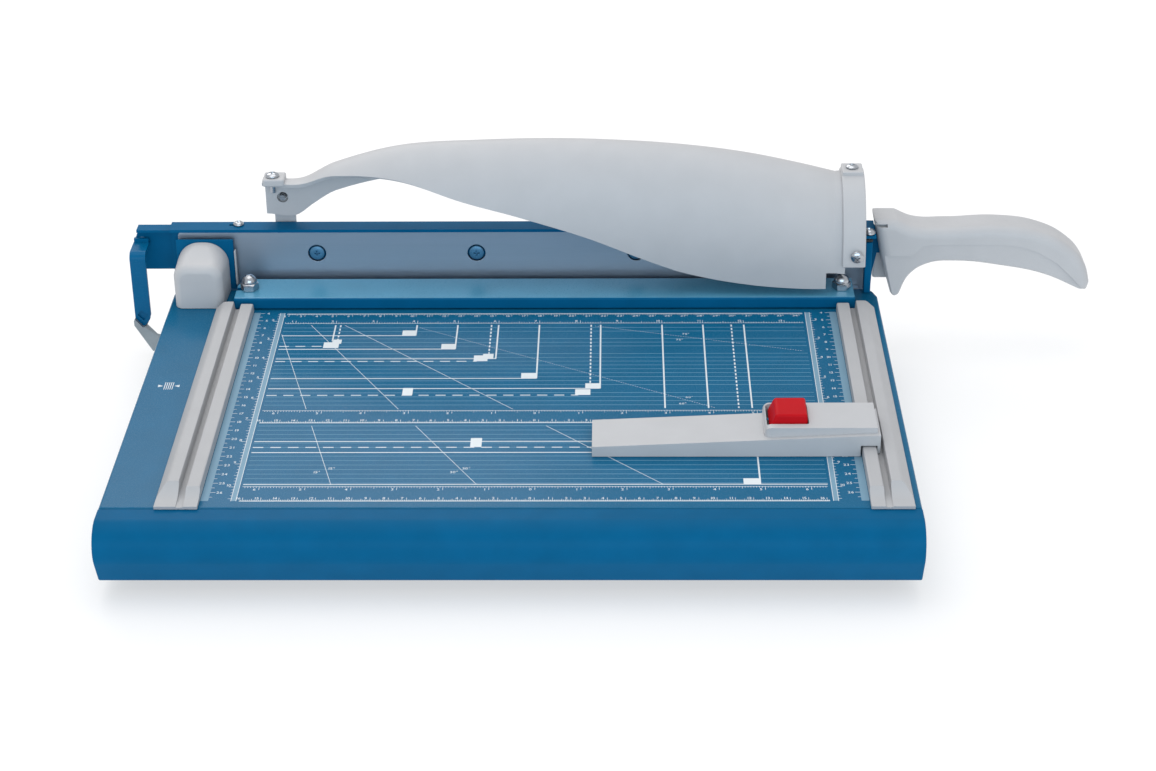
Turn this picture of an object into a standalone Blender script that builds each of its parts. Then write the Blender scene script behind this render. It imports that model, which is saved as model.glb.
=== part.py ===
"""Guillotine paper cutter: base, rear clamp bar with its linkage, guarded cutting arm and back gauge.

Lengths are in millimetres until MM turns them into metres.  X runs along the cutting edge, measured
from the middle of the two guide rails.  Y is 0 on the cutting plane and falls towards the user.
Z is 0 on the paper table.  world() moves all of it so that the object's origin lies on the desk,
under the middle of the whole machine.
"""
import math

import bmesh
import bpy
from mathutils import Vector

MM = 0.001
GAP = 0.3

# Paper table and front shell
TABLE_LEFT = -237.9
TABLE_RIGHT = 211.1
TABLE_REAR = -5.3
SEAM_Y = -277.0
FRONT_Y = -302.0
SHEET = 2.5
SKIRT = 36.0
NOSE_RADIUS = 15.0
FLOOR_Z = -46.0

# Cross rails and feet under the tray
RAIL_TOP = -33.0
RAIL_HALF_WIDTH = 12.0
FRONT_RAIL_Y = -245.0
REAR_RAIL_Y = -46.0
FOOT_INSET = 22.0
FOOT_RADIUS = 10.0

# Guide rails, mirrored about X = 0
GUIDE_OUTER = 207.0
GUIDE_INNER = 183.2
GUIDE_FRONT = -278.5
GUIDE_BACK = -37.0
GUIDE_FLOOR = 1.5
RIDGE_TOP = 6.3
GROOVE_INNER = 191.0
GROOVE_OUTER = 195.0
GUIDE_CREST = 8.3

# Clamp bar and what hangs below it
CLAMP_LEFT = -195.8
CLAMP_RIGHT = 195.0
CLAMP_FRONT = -34.9
CLAMP_BACK = -5.6
CLAMP_TOP = 8.1
CLAMP_WALL = 2.6
ROD_X = 187.4
ROD_Y = -21.0
ROD_RADIUS = 3.0
YOKE_TOP = -27.0
YOKE_THICKNESS = 3.0
YOKE_BOTTOM = YOKE_TOP - YOKE_THICKNESS
YOKE_END = 196.0
SPRING_RADIUS = 5.4
SPRING_WIRE = 0.5

# Arm, its pivot and the blade
PIVOT_X = -218.2
PIVOT_Z = 17.0
PIVOT_RADIUS = 5.0
BRACKET_FRONT = -5.0
BRACKET_BACK = -2.6
BRACKET_TOP = 34.6
CAP_FRONT = -33.4
CAP_WALL = 2.0
CAP_FRONT_SCALE = 0.83
BLADE_LEFT = -234.2
BLADE_RIGHT = 203.5
BLADE_FRONT = 0.3
BLADE_THICKNESS = 3.0
BLADE_TOP = 38.2
BLADE_BOTTOM = -7.0
SCREW_COUNT = 4
SCREW_PITCH = 102.0
FIRST_SCREW_X = -146.1
SCREW_Z = 23.0
WEB_FRONT = 3.6
WEB_THICKNESS = 3.0
ARM_LEFT = -239.0
ARM_RIGHT = 208.8
FLANGE_TOP = 40.5
FLANGE_THICKNESS = 2.0
FLANGE_FRONT = -2.0
FLANGE_BACK = 10.4
FLANGE_SCREW_X = -195.8
FLANGE_SCREW_Y = 5.6
STOP_BOLT_X = 204.6
STOP_BOLT_Y = -9.5

# Tail, strap and clamp lever on the left
TAIL_LEFT = -262.2
TAIL_FRONT = WEB_FRONT + WEB_THICKNESS + GAP
TAIL_THICKNESS = 2.5
STRAP_X = -258.7
STRAP_Z = 28.5
STRAP_WIDTH = 10.2
STRAP_THICKNESS = 2.5
STRAP_FRONT = -14.5
STRAP_BOTTOM = -22.0
LEVER_X = -214.0
LEVER_Z = -24.0
LEVER_FRONT = -11.7
LEVER_THICKNESS = 3.0
CHEEK_THICKNESS = 2.5
NOSE_X = -187.8

# Handle
HANDLE_MIDDLE = 5.1
HANDLE_HALF = 13.5
HANDLE_ROUNDING = 6.0
CHEEK_BACK = 20.6
HANDLE_TIP = 347.0
SPLIT_HALF_GAP = 0.15
COLLAR_WALL_X = 214.4
TANG_BOTTOM = 24.0
TANG_TOP = 36.0
TANG_END = 300.0

# Guard shell over the arm
GUARD_WALL = 2.5
GUARD_LEFT = -177.5
GUARD_RIGHT = 188.0
GUARD_AXIS_Z = 25.0
GUARD_CREST_Y = 3.0
GUARD_REACH = 35.0
GUARD_BACK_Y = 12.0
TIP_SCREW_X = -171.5
TIP_SCREW_Y = 2.0
TIP_SEAT = 75.9
WALL_SCREW_X = -167.0
WALL_SCREW_Z = 58.0
RING_SCREW_X = 193.0
RING_SCREW_Y = 2.5
RING_SEAT = 80.7
FRONT_SCREW_X = 195.0
FRONT_SCREW_Z = 36.5
SHANK_HOLE = 2.2

# Back gauge on the right guide
GAUGE_LEFT = 31.2
GAUGE_RIGHT = 193.2
GAUGE_FRONT = -221.3
GAUGE_BACK = -189.8
BLOCK_LEFT = 128.0
BLOCK_RIGHT = 191.6
BLOCK_TOP = 16.9
BUTTON_X = 141.6
BUTTON_Y = -201.7
BUTTON_WIDTH = 22.6
BUTTON_DEPTH = 23.0
BUTTON_TOP = 21.7
BUTTON_BOTTOM = 12.6
WELL_FLOOR = 5.0

# The origin: under the middle of the box that holds the whole machine
LEFT_END = -264.3
BACK_END = CHEEK_BACK
ORIGIN_X = (LEFT_END + HANDLE_TIP) / 2
ORIGIN_Y = (FRONT_Y + BACK_END) / 2

# Finishes: colour, roughness, metallic
BLUE_PAINT = ((0.004, 0.093, 0.235, 1), 0.38, 0.25)
GREY_PLASTIC = ((0.55, 0.56, 0.58, 1), 0.45, 0.0)
RED_PLASTIC = ((0.55, 0.012, 0.016, 1), 0.4, 0.0)
BLADE_STEEL = ((0.32, 0.36, 0.4, 1), 0.32, 1.0)
ZINC = ((0.55, 0.56, 0.58, 1), 0.28, 1.0)
LEVER_STEEL = ((0.25, 0.28, 0.31, 1), 0.45, 0.8)
BLACK_RUBBER = ((0.02, 0.02, 0.022, 1), 0.75, 0.0)

parts = None
cutters = None


def world(x, y, z):
    return Vector((x - ORIGIN_X, y - ORIGIN_Y, z - FLOOR_Z)) * MM


def clear_scene():
    for obj in list(bpy.data.objects):
        bpy.data.objects.remove(obj)


def new_collection(name):
    collection = bpy.data.collections.new(name)
    bpy.context.scene.collection.children.link(collection)
    return collection


# ---------------------------------------------------------------- shared builders


def finish_material(name, finish):
    colour, roughness, metallic = finish
    material = bpy.data.materials.new(name + "_finish")
    material.use_nodes = True
    shader = material.node_tree.nodes["Principled BSDF"]
    shader.inputs["Base Color"].default_value = colour
    shader.inputs["Roughness"].default_value = roughness
    shader.inputs["Metallic"].default_value = metallic
    material.diffuse_color = colour
    return material


def add_part(name, mesh, location, finish, rotation=(0, 0, 0), smooth_angle=35):
    obj = bpy.data.objects.new(name, mesh)
    obj.location = location
    obj.rotation_euler = rotation
    parts.objects.link(obj)
    mesh.materials.append(finish_material(name, finish))
    if smooth_angle:
        mesh.shade_smooth()
        mesh.set_sharp_from_angle(angle=math.radians(smooth_angle))
    return obj


def make_cutter(obj):
    """Turn a part into a guide that only shapes other parts."""
    parts.objects.unlink(obj)
    cutters.objects.link(obj)
    obj.name = obj.name + "_cutter"
    obj.hide_render = True
    obj.display_type = 'WIRE'
    return obj


def combine(obj, tool, operation):
    make_cutter(tool)
    modifier = obj.modifiers.new(tool.name, 'BOOLEAN')
    modifier.object = tool
    modifier.operation = operation
    modifier.solver = 'EXACT'
    return obj


def cut(obj, *tools):
    for tool in tools:
        combine(obj, tool, 'DIFFERENCE')
    return obj


def weld(obj, *tools):
    for tool in tools:
        combine(obj, tool, 'UNION')
    return obj


def bevel(obj, width, segments=2, angle=40):
    modifier = obj.modifiers.new("rounded edges", 'BEVEL')
    modifier.width = width * MM
    modifier.segments = segments
    modifier.limit_method = 'ANGLE'
    modifier.angle_limit = math.radians(angle)
    return obj


def box(name, x, y, z, finish, rounding=0, segments=2):
    """A block between the low and high values of x, y and z."""
    bm = bmesh.new()
    bmesh.ops.create_cube(bm, size=1)
    size = Vector((x[1] - x[0], y[1] - y[0], z[1] - z[0])) * MM
    bmesh.ops.scale(bm, vec=size, verts=bm.verts)
    mesh = bpy.data.meshes.new(name)
    bm.to_mesh(mesh)
    bm.free()
    obj = add_part(name, mesh, world(sum(x) / 2, sum(y) / 2, sum(z) / 2), finish)
    if rounding:
        bevel(obj, rounding, segments)
    return obj


def tidy_mesh(mesh):
    """Weld loose caps, join flat neighbours and point every face outwards."""
    bm = bmesh.new()
    bm.from_mesh(mesh)
    bmesh.ops.remove_doubles(bm, verts=bm.verts, dist=0.000005)
    bmesh.ops.dissolve_limit(bm, angle_limit=math.radians(0.5), verts=bm.verts, edges=bm.edges)
    bmesh.ops.recalc_face_normals(bm, faces=bm.faces)
    bm.to_mesh(mesh)
    bm.free()


def curve_to_mesh(curve):
    holder = bpy.data.objects.new("outline", curve)
    bpy.context.scene.collection.objects.link(holder)
    graph = bpy.context.evaluated_depsgraph_get()
    mesh = bpy.data.meshes.new_from_object(holder.evaluated_get(graph))
    bpy.data.objects.remove(holder)
    bpy.data.curves.remove(curve)
    tidy_mesh(mesh)
    return mesh


FACINGS = {
    'Z': (0, 0, 0),
    'Y': (math.radians(90), 0, 0),
    'X': (math.radians(90), 0, math.radians(90)),
}


def slab(name, points, facing, span, finish, smooth_angle=35):
    """A flat outline given thickness.

    Facing Y, the points are (x, z).  Facing X they are (y, z), and facing Z they are (x, y).
    """
    middle = sum(span) / 2
    curve = bpy.data.curves.new(name, 'CURVE')
    curve.dimensions = '2D'
    curve.fill_mode = 'BOTH'
    curve.extrude = (span[1] - span[0]) / 2 * MM
    spline = curve.splines.new('POLY')
    spline.points.add(len(points) - 1)
    u0, v0 = points[0]
    for target, (u, v) in zip(spline.points, points):
        target.co = ((u - u0) * MM, (v - v0) * MM, 0, 1)
    spline.use_cyclic_u = True
    mesh = curve_to_mesh(curve)
    place = {'Z': (u0, v0, middle), 'Y': (u0, middle, v0), 'X': (middle, u0, v0)}[facing]
    return add_part(name, mesh, world(*place), finish, FACINGS[facing], smooth_angle)


def turned(name, profile, location, finish, facing='Z', steps=16):
    """A turned piece: profile rows of (radius, height), top to bottom, about the facing axis."""
    mesh = bpy.data.meshes.new(name)
    points = [(radius * MM, 0, height * MM) for radius, height in profile]
    mesh.from_pydata(points, [(i, i + 1) for i in range(len(points) - 1)], [])
    rotation = {'Z': (0, 0, 0), 'Y': (math.radians(-90), 0, 0), '-Y': (math.radians(90), 0, 0)}[facing]
    obj = add_part(name, mesh, world(*location), finish, rotation, 0)
    screw = obj.modifiers.new("turned", 'SCREW')
    screw.axis = 'Z'
    screw.steps = steps
    screw.render_steps = steps
    screw.use_merge_vertices = True
    screw.merge_threshold = 0.00001
    screw.use_smooth_shade = True
    return obj


def rod(name, radius, location, span, finish, facing='Z', steps=16):
    """A plain round bar or hole between two heights along the facing axis."""
    low, high = span
    profile = [(0, high), (radius, high), (radius, low), (0, low)]
    return turned(name, profile, location, finish, facing, steps)


def pan_screw(name, location, facing, head, shank, finish=ZINC, steps=14):
    """A screw with a domed head above its seat at height 0 and a shank below it."""
    head_radius, head_height = head
    shank_radius, shank_length = shank
    profile = [
        (0, head_height),
        (head_radius * 0.6, head_height * 0.9),
        (head_radius, head_height * 0.35),
        (head_radius, 0),
        (shank_radius, 0),
        (shank_radius, -shank_length),
        (0, -shank_length),
    ]
    return turned(name, profile, location, finish, facing, steps)


def arc(centre, radius, start, end, steps):
    """Points on an arc, in degrees, both ends included."""
    cx, cy = centre
    points = []
    for i in range(steps + 1):
        angle = math.radians(start + (end - start) * i / steps)
        points.append((cx + radius * math.cos(angle), cy + radius * math.sin(angle)))
    return points


def spline_value(knots, x):
    """Smooth curve through knots of (x, value), flat beyond its ends."""
    if x <= knots[0][0]:
        return knots[0][1]
    if x >= knots[-1][0]:
        return knots[-1][1]
    i = max(k for k in range(len(knots) - 1) if knots[k][0] <= x)

    def slope(k):
        low = max(k - 1, 0)
        high = min(k + 1, len(knots) - 1)
        return (knots[high][1] - knots[low][1]) / (knots[high][0] - knots[low][0])

    (x0, y0), (x1, y1) = knots[i], knots[i + 1]
    width = x1 - x0
    t = (x - x0) / width
    start = slope(i) * width
    end = slope(i + 1) * width
    rise = y1 - y0
    return y0 + start * t + (3 * rise - 2 * start - end) * t * t + (start + end - 2 * rise) * t * t * t


def axis_empty(name, location):
    empty = bpy.data.objects.new(name, None)
    empty.empty_display_size = 0.02
    empty.location = location
    parts.objects.link(empty)
    return empty


def hang_on(empty, *objects):
    """Parent the pieces to the empty on their joint's axis, leaving them where they are."""
    for obj in objects:
        obj.parent = empty
        obj.location = obj.location - empty.location


# ---------------------------------------------------------------- base


def table_outline(inset):
    """Plan of the table with its cut rear corners, moved inwards by inset."""
    left = TABLE_LEFT + inset
    right = TABLE_RIGHT - inset
    rear = TABLE_REAR - inset
    front = SEAM_Y + inset
    cut_x = 8.0 - inset * 0.4
    cut_y = 11.0 - inset * 0.4
    return [
        (left, front),
        (right, front),
        (right, rear - cut_y),
        (right - cut_x * 0.3, rear - cut_y * 0.3),
        (right - cut_x, rear),
        (left + cut_x * 0.5, rear),
        (left, rear - cut_y * 0.5),
    ]


def base_table():
    """Folded steel tray: the paper table and its skirts, open below."""
    table = slab("base_table", table_outline(0), 'Z', (-SKIRT, 0), BLUE_PAINT)
    bevel(table, 1.6, 3, 60)
    inside = slab("table_inside", table_outline(SHEET), 'Z', (-SKIRT - 5, -SHEET), BLUE_PAINT)
    lever_slot = box("lever_slot", (TABLE_LEFT - 5, TABLE_LEFT + 11), (-17, -8.1), (-60, -22), BLUE_PAINT)
    cut(table, inside, lever_slot)
    for side in (-1, 1):
        hole = rod("rod_hole", ROD_RADIUS + 1, (side * ROD_X, ROD_Y, 0), (-10, 5), ZINC)
        cut(table, hole)
    return table


def front_shell():
    """Rounded front moulding, closed at its ends and open below."""
    back = SEAM_Y - GAP
    centre = (FRONT_Y + NOSE_RADIUS, -NOSE_RADIUS)
    outer = [(back, -SKIRT), (back, 0)]
    outer += arc(centre, NOSE_RADIUS, 90, 205, 9)
    outer += [(FRONT_Y + 7.4, -SKIRT + 1.2), (FRONT_Y + 9.4, -SKIRT)]
    shell = slab("front_shell", outer, 'X', (TABLE_LEFT, TABLE_RIGHT), BLUE_PAINT)
    bevel(shell, 0.8, 2, 60)
    inner = [(back - SHEET, -SKIRT - 5), (back - SHEET, -SHEET)]
    inner += arc(centre, NOSE_RADIUS - SHEET, 90, 205, 9)
    inner += [(FRONT_Y + 11.4, -SKIRT - 5)]
    hollow = slab("shell_inside", inner, 'X', (TABLE_LEFT + SHEET, TABLE_RIGHT - SHEET), BLUE_PAINT)
    return cut(shell, hollow)


def guide(name, side):
    """Grooved rail beside the sheet, its front end ramped down to the table."""
    profile = [
        (GUIDE_INNER, GAP),
        (GUIDE_INNER, RIDGE_TOP - 0.8),
        (GUIDE_INNER + 0.8, RIDGE_TOP),
        (GROOVE_INNER - 0.6, RIDGE_TOP),
        (GROOVE_INNER, RIDGE_TOP - 0.6),
        (GROOVE_INNER, GUIDE_FLOOR),
        (GROOVE_OUTER, GUIDE_FLOOR),
        (GROOVE_OUTER, GUIDE_CREST - 0.8),
        (GROOVE_OUTER + 0.8, GUIDE_CREST),
        (GUIDE_OUTER - 6.6, GUIDE_CREST),
        (GUIDE_OUTER - 4.6, GUIDE_CREST - 1),
        (GUIDE_OUTER, 2.2),
        (GUIDE_OUTER, GAP),
    ]
    points = [(side * x, z) for x, z in profile]
    rail = slab(name, points, 'Y', (GUIDE_FRONT, GUIDE_BACK), GREY_PLASTIC)
    reach = sorted((side * (GUIDE_INNER - 5), side * (GUIDE_OUTER + 5)))
    ramp = [(GUIDE_FRONT - 2, 1.8), (GUIDE_FRONT + 3, 2.4), (GUIDE_FRONT + 20, 10), (GUIDE_FRONT - 2, 14)]
    front_ramp = slab(name + "_ramp", ramp, 'X', reach, GREY_PLASTIC)
    lean = [(GUIDE_BACK + 2, 2.5), (GUIDE_BACK + 2, 12), (GUIDE_BACK - 4, 12), (GUIDE_BACK - 0.5, 2.5)]
    back_lean = slab(name + "_lean", lean, 'X', reach, GREY_PLASTIC)
    return cut(rail, front_ramp, back_lean)


def bed_knife():
    return box("bed_knife", (-186, 200), (TABLE_REAR + GAP, -0.2), (-28, -0.1), BLADE_STEEL, 0.25, 1)


def stop_post():
    """Upright at the rear right that the lowered arm lands on, with its rubber buffer."""
    box("stop_post", (202.4, 206.8), (-13, -5.7), (GAP, 35.5), BLUE_PAINT, 0.5)
    box("stop_buffer", (202.2, 207), (-12.6, -6), (35.8, 37.6), BLACK_RUBBER, 0.5)


def cross_rails():
    reach = (TABLE_LEFT + SHEET + GAP, TABLE_RIGHT - SHEET - GAP)
    for name, y in (("front_cross_rail", FRONT_RAIL_Y), ("rear_cross_rail", REAR_RAIL_Y)):
        box(name, reach, (y - RAIL_HALF_WIDTH, y + RAIL_HALF_WIDTH), (-SKIRT, RAIL_TOP), ZINC, 0.5, 1)


def feet():
    top = -SKIRT - GAP
    profile = [(0, top), (FOOT_RADIUS, top), (FOOT_RADIUS, top - 1.7), (FOOT_RADIUS - 1.5, FLOOR_Z + 1),
               (FOOT_RADIUS - 2.4, FLOOR_Z), (0, FLOOR_Z)]
    for row, y in (("front", FRONT_RAIL_Y), ("rear", REAR_RAIL_Y)):
        for side, x in (("left", TABLE_LEFT + FOOT_INSET), ("right", TABLE_RIGHT - FOOT_INSET)):
            turned(row + "_" + side + "_foot", profile, (x, y, 0), BLACK_RUBBER, steps=20)


# ---------------------------------------------------------------- arm pivot


def pivot_bracket():
    """Angle plate that holds the pivot bolt, standing on the table's rear left corner."""
    upright = (BRACKET_FRONT, BRACKET_BACK)
    bracket = box("pivot_bracket", (-235.2, -198.6), upright, (GAP, BRACKET_TOP), BLUE_PAINT)
    foot_half = 13.6
    reach = (PIVOT_X - foot_half, PIVOT_X + foot_half)
    foot = box("bracket_foot", reach, (-30, BRACKET_FRONT + 1), (GAP, 3.3), BLUE_PAINT)
    weld(bracket, foot)
    hole = rod("pivot_hole", PIVOT_RADIUS + GAP, (PIVOT_X, 0, PIVOT_Z), (-20, 20), ZINC, 'Y')
    return cut(bracket, hole)


def cap_outline(inset):
    half = 16.2 - inset
    top = 33.6 - inset
    points = [(PIVOT_X - half, GAP), (PIVOT_X - half, top - 16)]
    points += arc((PIVOT_X, top - 14.5 + inset * 0.5), 14.5 - inset * 0.5, 165, 15, 10)
    points += [(PIVOT_X + half, top - 16), (PIVOT_X + half, GAP)]
    return points


def pivot_cap():
    """Moulded housing over the pivot bolt, lower towards the front."""
    cap = slab("pivot_cap", cap_outline(0), 'Y', (CAP_FRONT, BRACKET_FRONT - GAP), GREY_PLASTIC)
    lower_front_end(cap, CAP_FRONT_SCALE)
    bevel(cap, 4.5, 3, 60)
    hollow = (CAP_FRONT + 2.4, BRACKET_FRONT + 10)
    inside = slab("cap_inside", cap_outline(CAP_WALL), 'Y', hollow, GREY_PLASTIC)
    lower_front_end(inside, CAP_FRONT_SCALE)
    floor = box("cap_floor", (PIVOT_X - 30, PIVOT_X + 30), (-40, 5), (-12, GAP + 0.02), GREY_PLASTIC)
    opening = box("cap_opening", (PIVOT_X - 14, PIVOT_X + 14), hollow, (-12, 4), GREY_PLASTIC)
    return cut(cap, inside, opening, floor)


def lower_front_end(obj, scale):
    """Shrink the height of an outline slab at its front end."""
    front = max(vertex.co.z for vertex in obj.data.vertices)
    for vertex in obj.data.vertices:
        if vertex.co.z > front - MM:
            vertex.co.y *= scale


def pivot_bolt():
    """Shouldered bolt through the bracket, blade and arm, with its nut and spring washer."""
    at = (PIVOT_X, 0, PIVOT_Z)
    head_radius = 8
    head_height = 3.5
    end = -14
    seat = TAIL_FRONT + TAIL_THICKNESS + GAP
    profile = [(0, seat + head_height), (head_radius, seat + head_height), (head_radius, seat),
               (PIVOT_RADIUS, seat), (PIVOT_RADIUS, end), (0, end)]
    bolt = turned("pivot_bolt", profile, at, ZINC, 'Y', 20)
    nut = rod("pivot_nut", 8.2, at, (-11, BRACKET_FRONT - GAP), ZINC, 'Y', 6)
    cut(nut, rod("nut_bore", PIVOT_RADIUS + GAP, at, (-20, 5), ZINC, 'Y'))
    washer = rod("pivot_washer", 9, at, (BRACKET_BACK + GAP, 0), ZINC, 'Y', 20)
    cut(washer, rod("washer_bore", PIVOT_RADIUS + GAP, at, (-20, 5), ZINC, 'Y'))
    return bolt


# ---------------------------------------------------------------- clamp


def clamp_bar():
    """Steel channel that holds the sheet down in front of the blade."""
    wall = CLAMP_WALL
    front = CLAMP_FRONT
    back = CLAMP_BACK
    profile = [
        (front, 1.0), (front, CLAMP_TOP - 1.6), (front + 0.5, CLAMP_TOP - 0.5), (front + 1.6, CLAMP_TOP),
        (back, CLAMP_TOP), (back, 1.0), (back - wall, 1.0), (back - wall, CLAMP_TOP - wall),
        (front + wall, CLAMP_TOP - wall), (front + wall, 1.0),
    ]
    bar = slab("clamp_bar", profile, 'X', (CLAMP_LEFT, CLAMP_RIGHT), BLUE_PAINT, 60)
    for side in (-1, 1):
        cut(bar, rod("bar_hole", ROD_RADIUS + GAP, (side * ROD_X, ROD_Y, 0), (-5, 15), ZINC))
    slot = box("bar_slot", (CLAMP_LEFT - 5, -ROD_X - 4.5), (-23, -19), (3, 15), ZINC)
    corner = slab("bar_corner", [(CLAMP_LEFT - 1, -19.5), (CLAMP_LEFT - 1, 0), (-190, 0), (-193.5, -9)],
                  'Z', (-3, 15), ZINC)
    return cut(bar, slot, corner)


def clamp_pad():
    return box("clamp_pad", (-180, 180), (CLAMP_FRONT + CLAMP_WALL + GAP, -25), (GAP, 5.2), BLACK_RUBBER)


def cap_nut(name, x):
    """Hexagon nut with a domed top and a blind bore."""
    nut = rod(name, 5.9, (x, ROD_Y, CLAMP_TOP + GAP), (0, 4.6), ZINC, steps=6)
    dome = [(0, 9.7), (1.8, 9.4), (3.4, 8.3), (4.5, 6.6), (4.8, 4.4), (4.8, 2), (0, 2)]
    weld(nut, turned(name + "_dome", dome, (x, ROD_Y, CLAMP_TOP + GAP), ZINC, steps=18))
    bore = rod(name + "_bore", ROD_RADIUS + GAP, (x, ROD_Y, CLAMP_TOP + GAP), (-3, 6), ZINC, steps=12)
    return cut(nut, bore)


def clamp_rods():
    made = []
    for side, word in ((-1, "left"), (1, "right")):
        x = side * ROD_X
        made.append(cap_nut("cap_nut_" + word, x))
        reach = (YOKE_BOTTOM - 6, CLAMP_TOP + 4.9)
        made.append(rod("clamp_rod_" + word, ROD_RADIUS, (x, ROD_Y, 0), reach, ZINC, steps=14))
        height = (YOKE_BOTTOM - 5, YOKE_BOTTOM - GAP)
        nut = rod("rod_nut_" + word, 5.8, (x, ROD_Y, 0), height, ZINC, steps=6)
        bore = (YOKE_BOTTOM - 9, YOKE_BOTTOM + 4)
        cut(nut, rod("rod_nut_bore", ROD_RADIUS + GAP, (x, ROD_Y, 0), bore, ZINC))
        made.append(nut)
    return made


def clamp_yoke():
    """Flat bar under the table that joins the two rods, with one stiffening lip."""
    front = -29
    lip_back = front + 2.5
    lip_top = YOKE_TOP + 7
    back = -8.9
    profile = [(front, YOKE_BOTTOM), (back, YOKE_BOTTOM), (back, YOKE_TOP), (lip_back, YOKE_TOP),
               (lip_back, lip_top), (front, lip_top)]
    yoke = slab("clamp_yoke", profile, 'X', (-YOKE_END, YOKE_END), ZINC)
    for side in (-1, 1):
        cut(yoke, rod("yoke_hole", ROD_RADIUS + GAP, (side * ROD_X, ROD_Y, 0), (-40, -15), ZINC))
    return yoke


def coil(name, centre, radius, wire, low, high, turns, finish):
    """Coil spring standing along Z with its wire inside low and high."""
    per_turn = 9
    curve = bpy.data.curves.new(name, 'CURVE')
    curve.dimensions = '3D'
    curve.bevel_depth = wire * MM
    curve.bevel_resolution = 1
    curve.use_fill_caps = True
    spline = curve.splines.new('POLY')
    count = turns * per_turn + 1
    spline.points.add(count - 1)
    start = low + wire
    rise = high - low - 2 * wire
    for i, point in enumerate(spline.points):
        angle = 2 * math.pi * i / per_turn
        height = start + rise * i / (count - 1)
        point.co = (radius * math.cos(angle) * MM, radius * math.sin(angle) * MM, (height - low) * MM, 1)
    mesh = curve_to_mesh(curve)
    return add_part(name, mesh, world(centre[0], centre[1], low), finish)


def clamp_springs():
    made = []
    high = CLAMP_TOP - CLAMP_WALL - GAP
    for side, word in ((-1, "left"), (1, "right")):
        at = (side * ROD_X, ROD_Y)
        made.append(coil("clamp_spring_" + word, at, SPRING_RADIUS, SPRING_WIRE, GAP, high, 3, ZINC))
    return made


# ---------------------------------------------------------------- arm


def arm_beam():
    """Blade carrier: web and top flange in one pressing, with the tang inside the handle."""
    back = WEB_FRONT + WEB_THICKNESS
    outline = [
        (ARM_LEFT, 7.6), (194, 7.6), (198, -6), (208.4, -6), (209, 8), (211.5, 21),
        (TANG_END, TANG_BOTTOM), (TANG_END, TANG_TOP), (213, TANG_TOP), (ARM_RIGHT, FLANGE_TOP - 0.5),
        (ARM_LEFT, FLANGE_TOP - 0.5),
    ]
    beam = slab("arm_beam", outline, 'Y', (WEB_FRONT, back), BLUE_PAINT)
    low = FLANGE_TOP - FLANGE_THICKNESS
    reach = (ARM_LEFT - 0.2, ARM_RIGHT + 0.2)
    flange = box("arm_flange", reach, (FLANGE_FRONT, FLANGE_BACK), (low, FLANGE_TOP), BLUE_PAINT)
    ear = box("arm_ear", (198, ARM_RIGHT), (-13.5, 1), (low + 0.1, FLANGE_TOP - 0.1), BLUE_PAINT)
    weld(beam, flange, ear)
    cut(beam, rod("beam_pivot", PIVOT_RADIUS + GAP, (PIVOT_X, 0, PIVOT_Z), (-5, 20), ZINC, 'Y'))
    for i in range(SCREW_COUNT):
        at = (FIRST_SCREW_X + i * SCREW_PITCH, 0, SCREW_Z)
        cut(beam, rod("beam_screw_hole", 2.8, at, (0, 20), ZINC, 'Y', 10))
    cut(beam, rod("ear_hole", 2.9, (STOP_BOLT_X, STOP_BOLT_Y, 0), (30, 50), ZINC, steps=12))
    height = (low - 0.2, FLANGE_TOP + 10)
    cut(beam, rod("flange_hole", 2.3, (FLANGE_SCREW_X, FLANGE_SCREW_Y, 0), height, ZINC, steps=12))
    slot_x = (FLANGE_SCREW_X - 6, FLANGE_SCREW_X - 1)
    slot = box("flange_slot", slot_x, (FLANGE_SCREW_Y - 1.2, FLANGE_SCREW_Y + 1.2), height, ZINC)
    return cut(beam, slot)


def arm_tail():
    """Plate behind the arm that reaches past the pivot and works the clamp linkage."""
    back = TAIL_FRONT + TAIL_THICKNESS
    outline = [(TAIL_LEFT, 9), (-186, 9), (-186, 34), (ARM_LEFT - 0.6, 36.6), (ARM_LEFT - 0.6, 37.8),
               (TAIL_LEFT + 3, 37.8), (TAIL_LEFT, 33)]
    tail = slab("arm_tail", outline, 'Y', (TAIL_FRONT, back), BLUE_PAINT)
    flange = box("tail_flange", (TAIL_LEFT + 1, ARM_LEFT - 0.6), (2.6, 11.6), (36.4, 38.2), BLUE_PAINT)
    weld(tail, flange)
    cut(tail, rod("tail_pivot", PIVOT_RADIUS + GAP, (PIVOT_X, 0, PIVOT_Z), (-5, 20), ZINC, 'Y'))
    return cut(tail, rod("strap_hole", 3.3, (STRAP_X, 0, STRAP_Z), (-5, 20), ZINC, 'Y'))


def blade():
    """Moving knife with its slightly bowed cutting edge."""
    outline = [
        (BLADE_LEFT, -2), (BLADE_LEFT, BLADE_TOP - 2), (BLADE_LEFT + 2, BLADE_TOP),
        (BLADE_RIGHT, BLADE_TOP), (BLADE_RIGHT, BLADE_BOTTOM),
    ]
    steps = 12
    edge_length = BLADE_RIGHT - BLADE_LEFT - 6
    edge_rise = 3
    for i in range(1, steps + 1):
        along = i / steps
        bow = math.sin(math.pi * along) * 2.5
        outline.append((BLADE_RIGHT - along * edge_length, BLADE_BOTTOM - bow + along * edge_rise))
    steel = slab("blade", outline, 'Y', (BLADE_FRONT, BLADE_FRONT + BLADE_THICKNESS), BLADE_STEEL)
    cut(steel, rod("blade_pivot", PIVOT_RADIUS + GAP, (PIVOT_X, 0, PIVOT_Z), (-5, 20), ZINC, 'Y'))
    for i in range(SCREW_COUNT):
        at = (FIRST_SCREW_X + i * SCREW_PITCH, 0, SCREW_Z)
        cut(steel, rod("blade_screw_hole", 5.6, at, (-5, 20), ZINC, 'Y', 18))
    return steel


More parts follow.
